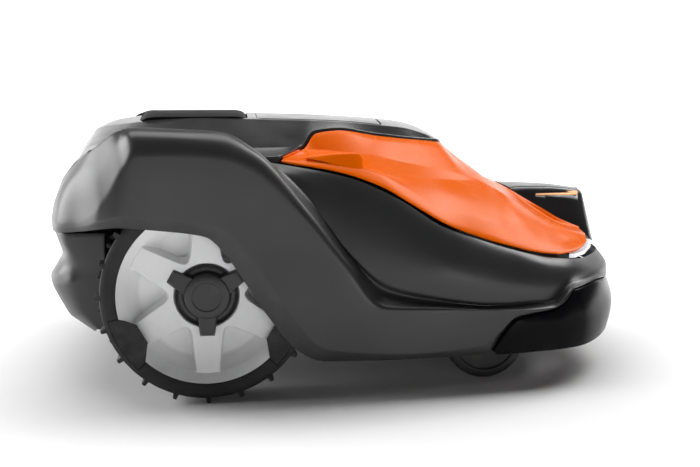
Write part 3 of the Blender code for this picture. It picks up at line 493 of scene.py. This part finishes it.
GROOVE = [
    (9, -109, -247, 277), (10, -57, -249, 225), (11, -9, -248, 160), (12, 32, -250, 119),
    (13, 96, -251, 105.5), (14, 153, -248, 98.5), (15, 191, -242, 97), (16, 232, -234, 98),
    (17, 262, -223, 117.5), (18, 300, -186, 118), (19, 346.5, -99, 111), (20, 358, 0, 108),
]
FENDER_TOP = [
    (0, -349, 0, 230), (1, -340, -132, 236), (2, -317, -193, 262), (3, -303, -218, 275),
    (4, -286, -231, 289), (5, -266, -240, 304), (6, -247, -244, 308), (7, -193, -249, 306),
    (8, -152, -251, 303), (9, -112, -254, 280), (10, -57, -262, 217), (11, -13, -265, 158),
    (12, 29, -265, 109), (13, 99, -263, 103), (14, 153, -259, 97.5), (15, 192, -253, 96),
    (16, 231, -245, 96), (17, 262, -229, 116), (18, 299.5, -190, 116.5), (19, 346, -102, 106),
    (20, 359, 0, 104),
]
CHAMFER = [
    (0, -354, 0, 208), (1, -349, -135, 213), (2, -333, -208, 235), (3, -311, -236, 246),
    (4, -288, -253, 262), (5, -265, -260, 287), (6, -247, -267, 303), (7, -193, -270, 300),
    (8, -153, -270, 296), (9, -114, -269, 279), (10, -61, -270, 217), (11, -16, -271, 157),
    (12, 28, -270, 106), (13, 100, -267, 101), (14, 153, -261.5, 96.8), (15, 192, -256.5, 95),
    (16, 230.5, -248, 94.8), (17, 262, -231.5, 115), (18, 299, -193, 115.5), (19, 346, -103, 104),
    (20, 359, 0, 102),
]
CREST = [
    (0, -355, 0, 197), (1, -352, -136, 197), (2, -338, -217, 200), (3, -312, -244, 203),
    (4, -283, -271, 226), (5, -260, -276, 263), (6, -241, -279, 284), (7, -193, -280, 283),
    (8, -156, -280, 280), (9, -122, -278, 268), (10, -67, -275, 214), (11, -20, -274, 154),
    (12, 24, -272, 104), (13, 102, -268, 99), (14, 153, -262.5, 96), (15, 192, -258, 94),
    (16, 230, -249, 94), (17, 262, -232.5, 114.6), (18, 298, -195, 115), (19, 345, -105, 103),
    (20, 359, 0, 101),
]
ARCH_EDGE = [
    (0, -355, 0, 191), (1, -352, -136, 191), (2, -338, -218, 194), (3, -312, -245, 198),
    (4, -286, -272, 207), (5, -263, -280, 213), (6, -240, -280, 211), (7, -190, -280, 207),
    (8, -163, -280, 204), (9, -146, -280, 194), (10, -127, -280, 171), (11, -97, -280, 129),
    (12, -67, -278, 84), (12.4, -40, -276, 60), (13, 60, -272, 50), (14, 143, -262, 55),
    (14.4, 166, -260, 72), (14.9, 184, -258.5, 87), (16, 231, -249.6, 93.4),
    (16.4, 244, -245.5, 98.6), (17, 262, -234.5, 114.2), (18, 297, -198, 114.4),
    (19, 344, -108, 102), (20, 359, 0, 99.5),
]
BOTTOM_EDGE = [
    (0, -355, 0, 185), (1, -352, -136, 185), (2, -338, -219, 188), (3, -312, -246, 193),
    (4, -286, -270, 199), (5, -266, -277, 201), (6, -240, -278, 199), (7, -188, -278, 193),
    (8, -171, -278, 189), (9, -154, -278, 174), (10, -138, -278, 151), (11, -104, -278, 98),
    (12, -68, -276, 56), (12.4, -42, -274, 45), (13, 60, -270, 43), (14, 150, -260, 43.5),
    (14.4, 166, -259.5, 66.5), (14.9, 184, -258.2, 84.8), (16, 231, -250, 92.6),
    (16.4, 244, -246, 97.8), (17, 262, -235, 113.5), (18, 296, -199, 113.6),
    (19, 343.5, -110, 101), (20, 358.5, 0, 98.5),
]
GUTTER_END = 9.0


def gutter_row(points, stations, share, seam, fender):
    """A row that starts where the gutter beside the deck ends, and divides its wall before that."""
    wall = between(seam, fender, share)
    return np.where(stations[:, None] < GUTTER_END, wall, guide(points, stations))


ARCH_TUCK = 1.2
BOTTOM_TUCK = 4.5


def body_shell():
    stations = np.unique(np.round(np.concatenate([np.arange(0, 20.001, 0.1), [12.4, 14.4, 14.9]]), 3))
    seam, fender = guide(SEAM, stations), guide(FENDER_TOP, stations)
    rows = [seam]
    for share, points in zip((0.2, 0.4, 0.6, 0.8), (SHOULDER, BULGE, LIP, GROOVE)):
        rows.append(gutter_row(points, stations, share, seam, fender))
    chamfer, crest, arch, bottom = (
        guide(points, stations) for points in (CHAMFER, CREST, ARCH_EDGE, BOTTOM_EDGE)
    )
    arch[:, 1] += ARCH_TUCK
    bottom[:, 1] += BOTTOM_TUCK
    rows += [fender, chamfer, crest, between(crest, arch, 0.62), arch, bottom]
    radii = (SOFT, SOFT, 3.0, 7.0, 4.0, SOFT, 7.0, 3.0, 2.0)
    skin(
        "body_shell_skin", rounded(rows, radii), BODY, "shell", ["body_shell"], rim=0.6
    )


# Orange cover -------------------------------------------------------------------------------------

COVER_LOW = [
    (0, -86, -226, 266.5), (1, -60, -226, 262.5), (2, -38, -226, 258.5), (3, -8, -227, 251.5),
    (4, 32, -231, 236.5), (5, 66, -235, 216.5), (6, 107, -236, 193), (7, 140, -233, 179.5),
    (8, 168, -229, 170), (9, 190, -223, 163.5), (10, 208, -217.5, 158), (11, 226, -211, 153.5),
    (12, 240, -205, 151), (13, 255, -198, 149), (14, 272, -188, 149), (15, 290, -171, 152),
    (16, 300, -156, 154),
]
COVER_RIDGE = [
    (0, -84, -223, 268), (1, -58, -215, 267.5), (3, -5, -215, 260), (4, 30, -216, 249),
    (5, 66, -218, 229), (6, 107, -216, 206), (7, 143, -210, 197), (8, 170, -204, 187.5),
    (9, 193, -198, 178), (10, 212, -191, 172), (12, 242, -179, 162.5), (14, 273, -163, 156.5),
    (16, 302, -148, 156),
]
COVER_FACET = [
    (0, -83, -221, 268.5), (1, -57, -196, 271), (2, -32, -200, 264), (3, 8, -203, 256),
    (4, 36, -196, 249), (5, 65, -185, 241), (6, 106, -158, 235), (7, 146, -130, 229),
    (8, 173, -112, 225), (9, 190, -112, 217), (10, 205, -118, 208), (12, 232, -118, 190),
    (14, 266, -116, 172), (16, 311, -112, 157),
]
COVER_CREASE = [
    (0, -82, -219, 269), (1, -56, -172, 273), (2, -34, -166, 272), (3, -4, -166, 269),
    (4, 28, -162, 265), (5, 66, -150, 255), (6, 107, -135, 246), (7, 144, -122, 236),
    (8, 170, -104, 228), (9, 187, -80, 224), (10, 199, -62, 219), (11, 211, -52, 213),
    (12, 230, -50, 202.5), (13, 248, -52, 190), (14, 267, -55, 177), (15, 291, -60, 163),
    (16, 320, -66, 155),
]
COVER_TOP = [
    (0, -80, -217, 269.5), (1, -55, -168, 274), (2, -38, -150, 290.5), (3, -10, -140, 293),
    (4, 38, -120, 284.5), (5, 74, -104, 279), (6, 112, -80, 273.5), (7, 132, -60, 269.5),
    (8, 144, 0, 263), (9, 168, 0, 243), (10, 192, 0, 223), (11, 218, 0, 211.5),
    (12, 231, -45, 204.5), (13, 251, -47, 192.5), (14, 271, -51, 181), (15, 297, -56, 166),
    (16, 322, -63, 155.5),
]


def top_cover():
    stations = np.round(np.arange(0, 16.001, 0.1), 3)
    low, ridge, facet, crease, top = (
        guide(points, stations)
        for points in (COVER_LOW, COVER_RIDGE, COVER_FACET, COVER_CREASE, COVER_TOP)
    )
    crown = np.clip((stations - 3) / 4, 0, 1)[:, None] * np.array((0, 0, 3.0))
    saddle = np.clip(1 - np.abs(stations - 9) / 2, 0, 1)[:, None] * np.array((0, -4.0, 2.5))
    rows = [
        top,
        between(crease, top, 0.5) + saddle,
        crease,
        facet,
        between(ridge, facet, 0.5) + crown,
        ridge,
        between(low, ridge, 0.5, (0, -1.0, 0)),
        low,
    ]
    radii = (SOFT, 1.5, 2.0, SOFT, 3.0, SOFT)
    skin(
        "top_cover_skin", rounded(rows, radii), ORANGE, "shell", ["top_cover"],
        rim=0.7,
    )


# Deck and hatch -----------------------------------------------------------------------------------

DECK_FOOT = [
    (0, -341, 0, 244.5), (1, -330, -127, 249.5), (2, -309.5, -186, 272), (3, -296.5, -207.5, 279.5),
    (4, -283, -217, 277.5), (5, -240, -223.5, 273.5), (6, -156, -227, 272.5),
    (7, -118, -227, 271.5), (8, -90, -220, 272), (9, -58, -163, 277.5), (10, -41, -146, 294),
    (11, -10, -136, 296.5), (12, 38, -116, 288), (13, 83, -95.5, 281), (14, 111, -76, 277),
    (15, 132, -54, 273), (16, 141, 0, 267.5),
]
DECK_SIDE = [
    (0, -322, 0, 271), (1, -315, -114, 273), (2, -303, -162, 280), (3, -292, -178, 281),
    (4, -279, -181, 279), (5, -240, -182, 277.5), (6, -156, -182, 277), (7, -116, -181, 277),
    (8, -88, -178, 277), (9, -56, -158, 278), (10, -38, -126, 288.5), (11, -5, -117, 289.5),
    (12, 42, -101, 283), (13, 84, -83, 278.5), (14, 110, -70, 275.5), (15, 131, -51.5, 272.5),
    (16, 140, 0, 268),
]
DECK_RIM = [
    (0, -308, 0, 286), (1, -307, -42, 287.5), (2, -303, -60, 290.5), (3, -296, -64.5, 293),
    (4, -266, -64.5, 297), (5, -231, -64.5, 300.6), (6, -178, -64.5, 302.8),
    (7, -119, -64.5, 301.7), (8, -80, -64.5, 300.4), (9, -52, -64.5, 299.5),
    (10, -33, -64.5, 298.9), (11, 0, -64.5, 297.5), (12, 46, -64.5, 293), (13, 84, -63, 288.4),
    (14, 108, -57, 281.8), (15, 127, -42, 275), (16, 138, 0, 269),
]
DECK_MIDDLE = [
    (0, -298, 0, 290.5), (1, -290, 0, 294.5), (3, -274, 0, 298.5), (5, -235, 0, 303),
    (6, -170, 0, 305.5), (7, -115, 0, 304.8), (9, -50, 0, 303), (11, 0, 0, 300.5),
    (12, 50, 0, 297), (13, 84, 0, 292.8), (14, 106, 0, 287), (15, 122, 0, 279.5),
    (16, 134, 0, 271),
]
HATCH_X = (-104.0, 54.0)
HATCH_HALF_WIDTH = 61.0
STOP_X = (-250.0, -117.0)
STOP_HALF_WIDTH = 60.5
STOP_TOP = 317.0
STOP_CROWN = 6.0
STOP_FOOT = 304.0


FLANGE_DROP = 7.0


def deck_rows():
    """The deck's rows, from its middle down to a flange that closes the slit at its edge."""
    stations = np.round(np.arange(0, 16.001, 0.125), 3)
    foot, side, rim, middle = (
        guide(points, stations) for points in (DECK_FOOT, DECK_SIDE, DECK_RIM, DECK_MIDDLE)
    )
    rows = [
        middle,
        between(rim, middle, 0.68, (0, 0, 0.6)),
        between(rim, middle, 0.36, (0, 0, 0.6)),
        rim,
        side,
        foot,
        foot * (1.02, 1.025, 1.0) - (0, 0, FLANGE_DROP),
    ]
    return rounded(rows, (SOFT, SOFT, 3.0, 2.5, 1.0))


def window(name, low, high, corner):
    """A block of space with round corners, seen from above."""
    bm = bmesh.new()
    outline = []
    for x, y, turn in ((1, 1, 0), (0, 1, 1), (0, 0, 2), (1, 0, 3)):
        centre = (
            high[0] - corner if x else low[0] + corner,
            high[1] - corner if y else low[1] + corner,
        )
        for step in range(7):
            angle = math.pi / 2 * (turn + step / 6)
            outline.append(
                (centre[0] + corner * math.cos(angle), centre[1] + corner * math.sin(angle))
            )
    bottom = [bm.verts.new((x, y, low[2])) for x, y in outline]
    top = [bm.verts.new((x, y, high[2])) for x, y in outline]
    bm.faces.new(bottom)
    bm.faces.new(top)
    for index in range(len(outline)):
        after = (index + 1) % len(outline)
        bm.faces.new((bottom[index], bottom[after], top[after], top[index]))
    return cutter(name, bm)


def deck():
    main = skin("top_deck_skin", deck_rows(), DECK, "shell", ["top_deck"], rim=0.0)
    hole = window(
        "hatch_hole",
        (HATCH_X[0] - 1, -HATCH_HALF_WIDTH - 1, 270),
        (HATCH_X[1] + 2.5, HATCH_HALF_WIDTH + 1, 330),
        9,
    )
    stop = window(
        "stop_hole",
        (STOP_X[0] - 1, -STOP_HALF_WIDTH - 1, 270),
        (STOP_X[1] + 1, STOP_HALF_WIDTH + 1, 340),
        9,
    )
    lid = skin("hatch_lid_skin", deck_rows(), DECK, "hatch", ["hatch_lid"], rim=0.0)
    limit = window(
        "hatch_limit",
        (HATCH_X[0], -HATCH_HALF_WIDTH, 270),
        (HATCH_X[1], HATCH_HALF_WIDTH, 330),
        8,
    )
    cut(main, hole)
    cut(main, stop)
    cut(lid, limit, "INTERSECT")
    for made in (main, lid):
        bevel(made, 0.5, 2, 60.0)
        bake(made)
        made.data.set_sharp_from_angle(angle=math.radians(50))
    for helper in (hole, stop, limit):
        bpy.data.objects.remove(helper)


def stop_button():
    """The stop button: crowned across, with its ends sloped and rounded."""
    low_x, high_x = STOP_X
    bm = bmesh.new()
    rows = []
    for share in np.linspace(-1, 1, 25):
        y = STOP_HALF_WIDTH * share
        top = STOP_TOP - STOP_CROWN * share**2
        rows.append([
            (low_x, y, STOP_FOOT), (low_x, y, top - 6.5), (low_x + 2.5, y, top - 3.5),
            (low_x + 8, y, top - 1.2), (low_x + 15, y, top - 0.2), (low_x + 24, y, top),
            (high_x - 20, y, top), (high_x - 12, y, top - 0.2), (high_x - 6, y, top - 1.2),
            (high_x - 2, y, top - 3.2), (high_x, y, top - 6.0), (high_x, y, STOP_FOOT),
        ])
    made = grid_faces(bm, rows, closed=True)
    bm.faces.new(made[0])
    bm.faces.new(made[-1])
    made = piece(
        "stop_button_cap", bm, STOP, "stop_button", ["stop_button"], angle=30.0
    )
    bevel(made, 1.2, 3, 40.0)


# Nose, bumper and skirt ---------------------------------------------------------------------------

NOSE_TOP = [
    (0, 232.5, -38, 206), (1, 248, -33, 207), (2, 275, -30, 206), (3, 303, -27, 204),
    (4, 326, -24, 201), (5, 336, -12, 199.5), (6, 338, 0, 199.5),
]
NOSE_CORNER = [
    (0, 235, -41, 202), (1, 248, -38, 203), (2, 275, -34.5, 202), (3, 303, -31, 200),
    (4, 330, -28, 197), (5, 341, -14, 195), (6, 343, 0, 195),
]
NOSE_FOOT = [
    (0, 238, -43.5, 197), (1, 252, -45.8, 188), (2, 273, -50, 175.5), (3, 300, -55, 161),
    (4, 330, -62, 147), (5, 351, -34, 131.5), (6, 355, 0, 128.5),
]


STRIP_SLOT_SIZE = (61.0, 24.0, 3.0)
STRIP_SLOT_MIDDLE = (299.0, 38.0, 203.0)


def nose_cover():
    stations = np.round(np.arange(0, 6.001, 0.1), 3)
    top, corner, foot = (guide(points, stations) for points in (NOSE_TOP, NOSE_CORNER, NOSE_FOOT))
    spine = top.copy()
    spine[:, 1] = 0.0
    spine[:, 2] += 1.0
    spine[0] = (222.5, 0.0, 219.0)
    rows = [spine, top, corner, between(corner, foot, 0.5), foot]
    cover = skin(
        "nose_cover_skin", rounded(rows, (4.0, 3.0, SOFT)), NOSE, "shell",
        ["nose_cover"], rim=0.5,
    )
    x, y, z = STRIP_SLOT_MIDDLE
    for sign in SIDES.values():
        bm = bmesh.new()
        bmesh.ops.create_cube(bm, size=1.0)
        bmesh.ops.scale(bm, vec=STRIP_SLOT_SIZE, verts=bm.verts)
        bmesh.ops.translate(bm, vec=(x, sign * y, z), verts=bm.verts)
        cut(cover, cutter("strip_slot_cutter", bm))


BUMPER_SEAM = [
    (0, 156, -258.6, 47), (1, 168, -258.6, 64), (2, 185, -257.5, 82), (3, 232, -249, 90),
    (4, 246, -244.5, 95.5), (5, 263.5, -233.5, 111), (6, 297, -198, 111), (7, 344, -109, 98.5),
    (8, 357, 0, 96),
]
BUMPER_BELLY = [
    (0, 158, -258.6, 45.5), (1, 176, -258.6, 55), (2, 196, -256.5, 66), (3, 235, -251, 72),
    (4, 251, -246, 74), (5, 273, -236, 78), (6, 304, -202, 77), (7, 350, -112, 73),
    (8, 360, 0, 71),
]
BUMPER_LOW = [
    (0, 160, -258.4, 43.2), (1, 181, -256.5, 43), (2, 206, -252, 43), (3, 237, -246, 43),
    (4, 253, -241, 43), (5, 271, -232, 43), (6, 301, -201, 43), (7, 342, -116, 43),
    (8, 353, 0, 43),
]


BUMPER_LIP_HEIGHT = 4.0


def front_bumper():
    """The bumper, with a lip turned in behind its seam so that nothing shows through the gap."""
    stations = np.round(np.arange(0, 8.001, 0.1), 3)
    seam, belly, low = (
        guide(points, stations) for points in (BUMPER_SEAM, BUMPER_BELLY, BUMPER_LOW)
    )
    lip = seam * (0.985, 0.975, 1.0) + (0, 0, BUMPER_LIP_HEIGHT)
    rows = [
        lip,
        seam,
        between(seam, belly, 0.5, (1.0, -0.6, 0)),
        belly,
        between(belly, low, 0.5, (1, -1, 0)),
        low,
    ]
    skin(
        "front_bumper_skin", rounded(rows, (1.0, SOFT, SOFT, SOFT)), BLACK, "shell",
        ["front_bumper"], rim=0.8,
    )


SKIRT_ROWS = [
    (183.0, -352.0, 184.0, -329.0), (165.0, -347.0, 173.0, -328.0), (148.0, -342.0, 161.0, -322.0),
    (134.0, -350.0, 149.0, -315.0), (118.0, -360.0, 138.0, -316.0), (104.0, -357.0, 126.0, -322.0),
    (88.0, -349.0, 112.0, -319.0), (66.0, -337.0, 92.0, -312.0), (45.0, -306.0, 71.0, -297.0),
]
SKIRT_FRONT = -286.0


def skirt_points(height, back, side_height, corner):
    """One row of the skirt, from the middle of the back round the corner to the front of the side."""
    rise, run = side_height - height, corner - back
    return [
        (back, 0, height), (back, -70, height), (back + 0.08 * run, -140, height + 0.35 * rise),
        (back + 0.45 * run, -182, height + 0.75 * rise), (corner, -200, side_height),
        (SKIRT_FRONT, -203, side_height),
    ]


def rear_skirt():
    rows = []
    for row in SKIRT_ROWS:
        points = [(index, *point) for index, point in enumerate(skirt_points(*row))]
        rows.append(guide(points, np.round(np.arange(0, 5.001, 0.1), 3)))
    skin(
        "rear_skirt_skin", rounded(rows, (5.0,) * (len(rows) - 2)), BODY, "shell",
        ["rear_skirt"], rim=0.6,
    )


FIN_RISE = 3.2


def cover_fin(name, sign):
    """The raised fin with a blunt front on the ledge of the orange cover."""
    sections = [
        (-56, (-219, 267.2), (-217.5, 267.8), (-214, 267.9), (-212, 267.6)),
        (-44, (-219.5, 264.6), (-216, 269.3), (-207, 270.2), (-200, 268.4)),
        (-24, (-220, 259.5), (-215, 271.2), (-206, 271.8), (-199, 262.5)),
        (-4, (-219.5, 254.8), (-213.5, 271.8), (-206, 272.1), (-199, 257.0)),
        (6, (-218, 252.5), (-212.5, 271.0), (-206, 271.2), (-200, 255.0)),
        (9, (-216.5, 251.5), (-212, 266.0), (-206.5, 266.0), (-201, 254.0)),
    ]
    bm = bmesh.new()
    rings = []
    for x, *corners in sections:
        ring = [np.array([[x, y, z]]) for y, z in corners]
        rings.append([tuple(p[0]) for p in rounded(ring, (2.2, 2.2), 5)])
    rows = [[(x, -sign * y, z + FIN_RISE) for x, y, z in ring] for ring in rings]
    made = grid_faces(bm, rows)
    bm.faces.new(made[0])
    bm.faces.new(made[-1])
    made = piece(name, bm, ORANGE, "shell")
    bevel(made, 1.0, 3, 50.0)


# Wheels -------------------------------------------------------------------------------------------


def polar(radius, degrees):
    angle = math.radians(degrees)
    return radius * math.cos(angle), radius * math.sin(angle)


def lathe(bm, profile, sign, sides=96):
    """Adds a turned shape about the Y axis; profile is (radius, distance along the axle) pairs."""
    angles = [2 * math.pi * side / sides for side in range(sides)]
    rows = []
    for radius, along in profile:
        rows.append([(radius * math.cos(a), sign * along, radius * math.sin(a)) for a in angles])
    return grid_faces(bm, rows, closed=True)


SPOKES = 6
SPOKE_HALF_WIDTHS = ((45, 88), (17.0, 12.25))
FACE = ((0, 34, 36.5, 46, 88.2, 89.4), (256, 256, 262, 262, 259.2, 257.6))
BOWL = ((0, 74, 76.5, 88.7, 98.4, RIM_RADIUS), (238.0, 238.0, 239.2, 257.0, 266.8, 267.4))
CLIP_ANGLES = (90, 210, 330)


def rim_height(radius, angle):
    """How far out the rim's face stands at each radius and angle: six spokes over a bowl."""
    step = 2 * math.pi / SPOKES
    local = (angle + step / 2) % step - step / 2
    along, across = radius * np.cos(local), np.abs(radius * np.sin(local))
    width = np.interp(radius, *SPOKE_HALF_WIDTHS)
    near = 0.5 * along - 0.866 * across - width
    far = 0.5 * along + 0.866 * across - width
    round_off = 15.0
    overlap = np.maximum(round_off - np.abs(near - far), 0) / round_off
    inside = np.minimum(near, far) - overlap**2 * round_off / 4
    share = np.clip(inside / 3.0, 0, 1)
    share = share**2 * (3 - 2 * share)
    bowl = np.interp(radius, *BOWL)
    face = np.where(radius > 89.4, bowl, np.interp(radius, *FACE))
    height = face * (1 - share) + bowl * share
    for middle in CLIP_ANGLES:
        off = np.abs((np.degrees(angle) - middle + 180) % 360 - 180)
        under = (radius > 84.2) & (off < np.interp(radius, (84.2, RIM_RADIUS), (7.2, 15.6)))
        height = np.where(under, np.minimum(height, 261.5), height)
    return height


def rim(name, sign, body):
    radii = np.unique(np.concatenate([
        [12.4], np.arange(14, 33.1, 3.0), np.arange(34, 47.1, 0.9), np.arange(48, 73.1, 1.3),
        np.arange(73.5, 77.1, 0.7), np.arange(78, 88.1, 1.1), np.arange(88.2, 89.7, 0.4),
        np.arange(90.5, 98.1, 1.5), [98.4, 98.9, RIM_RADIUS],
    ]))
    sides = 720
    angles = np.arange(sides) * 2 * math.pi / sides
    bm = bmesh.new()
    rows = []
    for radius in radii:
        height = rim_height(np.full(sides, radius), angles)
        rows.append(list(zip(radius * np.cos(angles), sign * height, radius * np.sin(angles))))
    for radius, along in ((RIM_RADIUS, 212), (92, 210), (88, 226), (12.4, 226), (12.4, 256)):
        rows.append([
            (radius * math.cos(a), sign * along, radius * math.sin(a)) for a in angles
        ])
    grid_faces(bm, rows, closed=True)
    return piece(
        name, bm, RIM, body, ["rim_" + name.split("_")[1]], WHEEL_HUB, 38.0
    )


def clip_room(name, sign, middle):
    """The space that a tyre clip takes in the tyre."""
    outline = [polar(111.5, middle + a) for a in (17.0, 8.5, 0, -8.5, -17.0)]
    outline += [polar(95, middle - 17.0), polar(95, middle + 17.0)]
    bm = bmesh.new()
    low = [bm.verts.new((x, sign * 261.5, z)) for x, z in outline]
    high = [bm.verts.new((x, sign * 275, z)) for x, z in outline]
    bm.faces.new(low)
    bm.faces.new(high)
    for index in range(len(outline)):
        after = (index + 1) % len(outline)
        bm.faces.new((low[index], low[after], high[after], high[index]))
    made = cutter(name, bm)
    made.data.transform(Matrix.Translation(Vector(WHEEL_HUB) * MM))
    return made


LUGS = 40


def add_lug(bm, sign, degrees, near, far):
    """One tread lug: a tapered bar across half of the tyre."""
    section = [(-3.3, 115.5), (-2.3, 121.7), (-1.6, 122.4), (1.6, 122.4), (2.3, 121.7), (3.3, 115.5)]
    turn = Matrix.Rotation(-math.radians(degrees - 90), 4, "Y")
    rings = []
    for along, shrink in ((near, 0.75), (near + 1.2, 1.0), (far - 1.2, 1.0), (far, 0.75)):
        points = [
            turn @ Vector((x * shrink, sign * along, 115.5 + (z - 115.5) * (0.85 + 0.15 * shrink)))
            for x, z in section
        ]
        rings.append([bm.verts.new((point + Vector(WHEEL_HUB)) * MM) for point in points])
    for first, second in zip(rings, rings[1:]):
        for index in range(len(section) - 1):
            bm.faces.new((first[index], first[index + 1], second[index + 1], second[index]))
    bm.faces.new(rings[0])
    bm.faces.new(rings[-1])


def tyre(name, sign, body):
    near, far = TYRE_Y
    profile = [
        (RIM_RADIUS + 0.3, near), (113, near), (116, near + 2), (117, near + 5), (117, far - 5),
        (116.2, far - 2.2), (113.5, far - 0.5), (111, far), (101.5, far), (100.2, far - 0.6),
        (RIM_RADIUS + 0.3, far - 2.5), (RIM_RADIUS + 0.3, near),
    ]
    bm = bmesh.new()
    lathe(bm, profile, sign, 180)
    made = piece(
        name, bm, TYRE, body, ["tyre_" + name.split("_")[1]], WHEEL_HUB, 38.0
    )
    rooms = [clip_room("room_%s_%d" % (name, middle), sign, middle) for middle in CLIP_ANGLES]
    for room in rooms:
        cut(made, room)
    bake(made)
    for room in rooms:
        bpy.data.objects.remove(room)
    bm = bmesh.new()
    bm.from_mesh(made.data)
    for lug in range(LUGS):
        rows = ((244.0, 266.5), (210.0, 238.0))
        add_lug(bm, sign, -90 + lug * 360 / LUGS, *rows[lug % 2])
    bmesh.ops.recalc_face_normals(bm, faces=bm.faces)
    bm.to_mesh(made.data)
    bm.free()
    made.data.shade_smooth()
    made.data.set_sharp_from_angle(angle=math.radians(38))
    return made


def hub_knob(name, sign, body):
    """The black cap with a recess round it and three wedge-shaped grips."""
    bm = bmesh.new()
    lathe(bm, [
        (0.01, 271.8), (15.5, 271.8), (16.6, 272.6), (22.6, 272.6), (24.4, 271.6), (25.2, 269.6),
        (25.8, 262), (27.6, 259.6), (31.0, 259.2), (33.4, 260.4), (34.4, 262.6), (35.2, 262.6),
        (35.2, 257.2), (0.01, 257.2),
    ], sign, 96)
    for middle in (30, 150, 270):
        low = [(21.0, -13.0), (46.5, -8.6), (46.5, 8.6), (21.0, 13.0)]
        high = [(21.0, -10.6), (43.6, -6.0), (43.6, 6.0), (21.0, 10.6)]
        levels = []
        for outline, outer, inner in ((low, 261.0, 258.0), (high, 266.4, 270.0)):
            ring = []
            for along, across in outline:
                angle = math.radians(middle)
                x = along * math.cos(angle) - across * math.sin(angle)
                z = along * math.sin(angle) + across * math.cos(angle)
                ring.append(bm.verts.new((x, sign * (inner if along < 30 else outer), z)))
            levels.append(ring)
        bm.faces.new(levels[0])
        bm.faces.new(levels[1])
        for index in range(4):
            after = (index + 1) % 4
            bm.faces.new((levels[0][index], levels[0][after], levels[1][after], levels[1][index]))
    made = piece(
        name, bm, KNOB, body, ["hub_knob_" + name.split("_")[1]], WHEEL_HUB, 30.0
    )
    return bevel(made, 0.9, 3, 40.0)


def castor_wheel(name, sign, body):
    x, y, z = CASTOR_HUB
    profile = [
        (5.3, -10.5), (5.3, 9.5), (9.0, 10.8), (12.0, 10.8), (13.5, 9.6), (36.5, 10.6), (38.5, 12.2),
        (43.0, 12.5), (46.6, 11.4), (48.0, 8.8), (48.0, -8.8), (46.6, -11.4), (43.0, -12.5),
        (38.5, -12.2), (36.5, -10.6), (5.3, -10.5),
    ]
    bm = bmesh.new()
    lathe(bm, profile, sign, 96)
    return piece(
        name, bm, CASTOR, body, ["castor_wheel_" + name.split("_")[1]],
        (x, sign * y, z), 30.0,
    )


body_shell()
top_cover()
deck()
stop_button()
nose_cover()
front_bumper()
rear_skirt()
for side, side_sign in SIDES.items():
    cover_fin("cover_fin_" + side, side_sign)
    wheel_body = "drive_wheel_" + side
    rim("rim_%s_spokes" % side, side_sign, wheel_body)
    tyre("tyre_%s_tread" % side, side_sign, wheel_body)
    hub_knob("knob_%s_cap" % side, side_sign, wheel_body)
    castor_wheel("castor_%s_disc" % side, side_sign, "castor_wheel_" + side)


# Floor, lights and camera -------------------------------------------------------------------------


def floor():
    """A pale floor with a painted glow that grows away from the object into the white backdrop."""
    made = Shader("painted_glow_floor", Roughness=0.9, Specular_IOR_Level=0.1)
    cloud = made.spread(made.noise(3.0, 3.0), 0.3, 0.7)
    base = made.blend(cloud, (0.8, 0.8, 0.8), (0.83, 0.83, 0.83))
    made.links.new(base, made.bsdf.inputs["Base Color"])
    made.bump(made.noise(40.0, 3.0), 0.02, 0.001)
    # Painted glow: the floor's emission rises from almost nothing beside the object to 1.7 further
    # out.
    away = made.new("VectorMath", operation="LENGTH")
    made.links.new(made.place, away.inputs[0])
    glow = made.spread(away.outputs["Value"], 0.35, 1.9, 0.01, 1.7)
    made.bsdf.inputs["Emission Color"].default_value = (1, 1, 1, 1)
    made.links.new(glow, made.bsdf.inputs["Emission Strength"])
    bm = bmesh.new()
    bmesh.ops.create_circle(bm, cap_ends=True, segments=96, radius=11000)
    ground = piece("painted_glow_floor", bm, made.material, None)


def backdrop():
    """A white dome round the scene that only the camera sees."""
    made = Shader("white_backdrop", Roughness=1.0, Emission_Strength=1.0)
    made.bsdf.inputs["Base Color"].default_value = (0, 0, 0, 1)
    made.bsdf.inputs["Emission Color"].default_value = (1, 1, 1, 1)
    bm = bmesh.new()
    bmesh.ops.create_uvsphere(bm, u_segments=64, v_segments=32, radius=11500)
    dome = piece("white_backdrop", bm, made.material, None)
    dome.visible_diffuse = False
    dome.visible_glossy = False
    dome.visible_transmission = False
    dome.visible_shadow = False


def light(name, at, aim, size, power):
    data = bpy.data.lights.new(name, "AREA")
    data.shape = "RECTANGLE"
    data.size, data.size_y = size
    data.energy = power
    made = bpy.data.objects.new(name, data)
    bpy.context.scene.collection.objects.link(made)
    made.location = at
    made.rotation_euler = (Vector(aim) - Vector(at)).to_track_quat("-Z", "Y").to_euler()
    made.visible_camera = False


floor()
backdrop()
light("top_softbox", (0.0, 0.5, 2.2), (0.0, 0.0, 0.0), (3.2, 1.4), 50)
light("front_softbox", (1.6, 0.65, 1.75), (0.2, 0.0, 0.15), (1.2, 1.0), 28)
light("back_panel", (0.0, 3.0, 0.8), (0.0, 0.0, 0.3), (9.0, 1.5), 58)
light("rear_panel", (-2.3, 0.35, 0.85), (-0.3, -0.1, 0.2), (1.8, 1.3), 60)
light("side_glow", (0.75, -1.8, 0.2), (0.1, -0.26, 0.15), (0.2, 0.2), 1.6)

world = bpy.data.worlds.new("studio")
world.use_nodes = True
world.node_tree.nodes["Background"].inputs["Color"].default_value = (1, 1, 1, 1)
world.node_tree.nodes["Background"].inputs["Strength"].default_value = 0.04
bpy.context.scene.world = world
bpy.context.scene.view_settings.view_transform = "Standard"

camera = bpy.data.objects.new("camera", bpy.data.cameras.new("camera"))
bpy.context.scene.collection.objects.link(camera)
camera.location = (-0.1722, -1.500, 0.375)
camera.rotation_euler = (math.radians(81.52), 0.0, math.radians(-7.38))
camera.data.lens = 58.06
camera.data.sensor_width = 36.0
bpy.context.scene.camera = camera
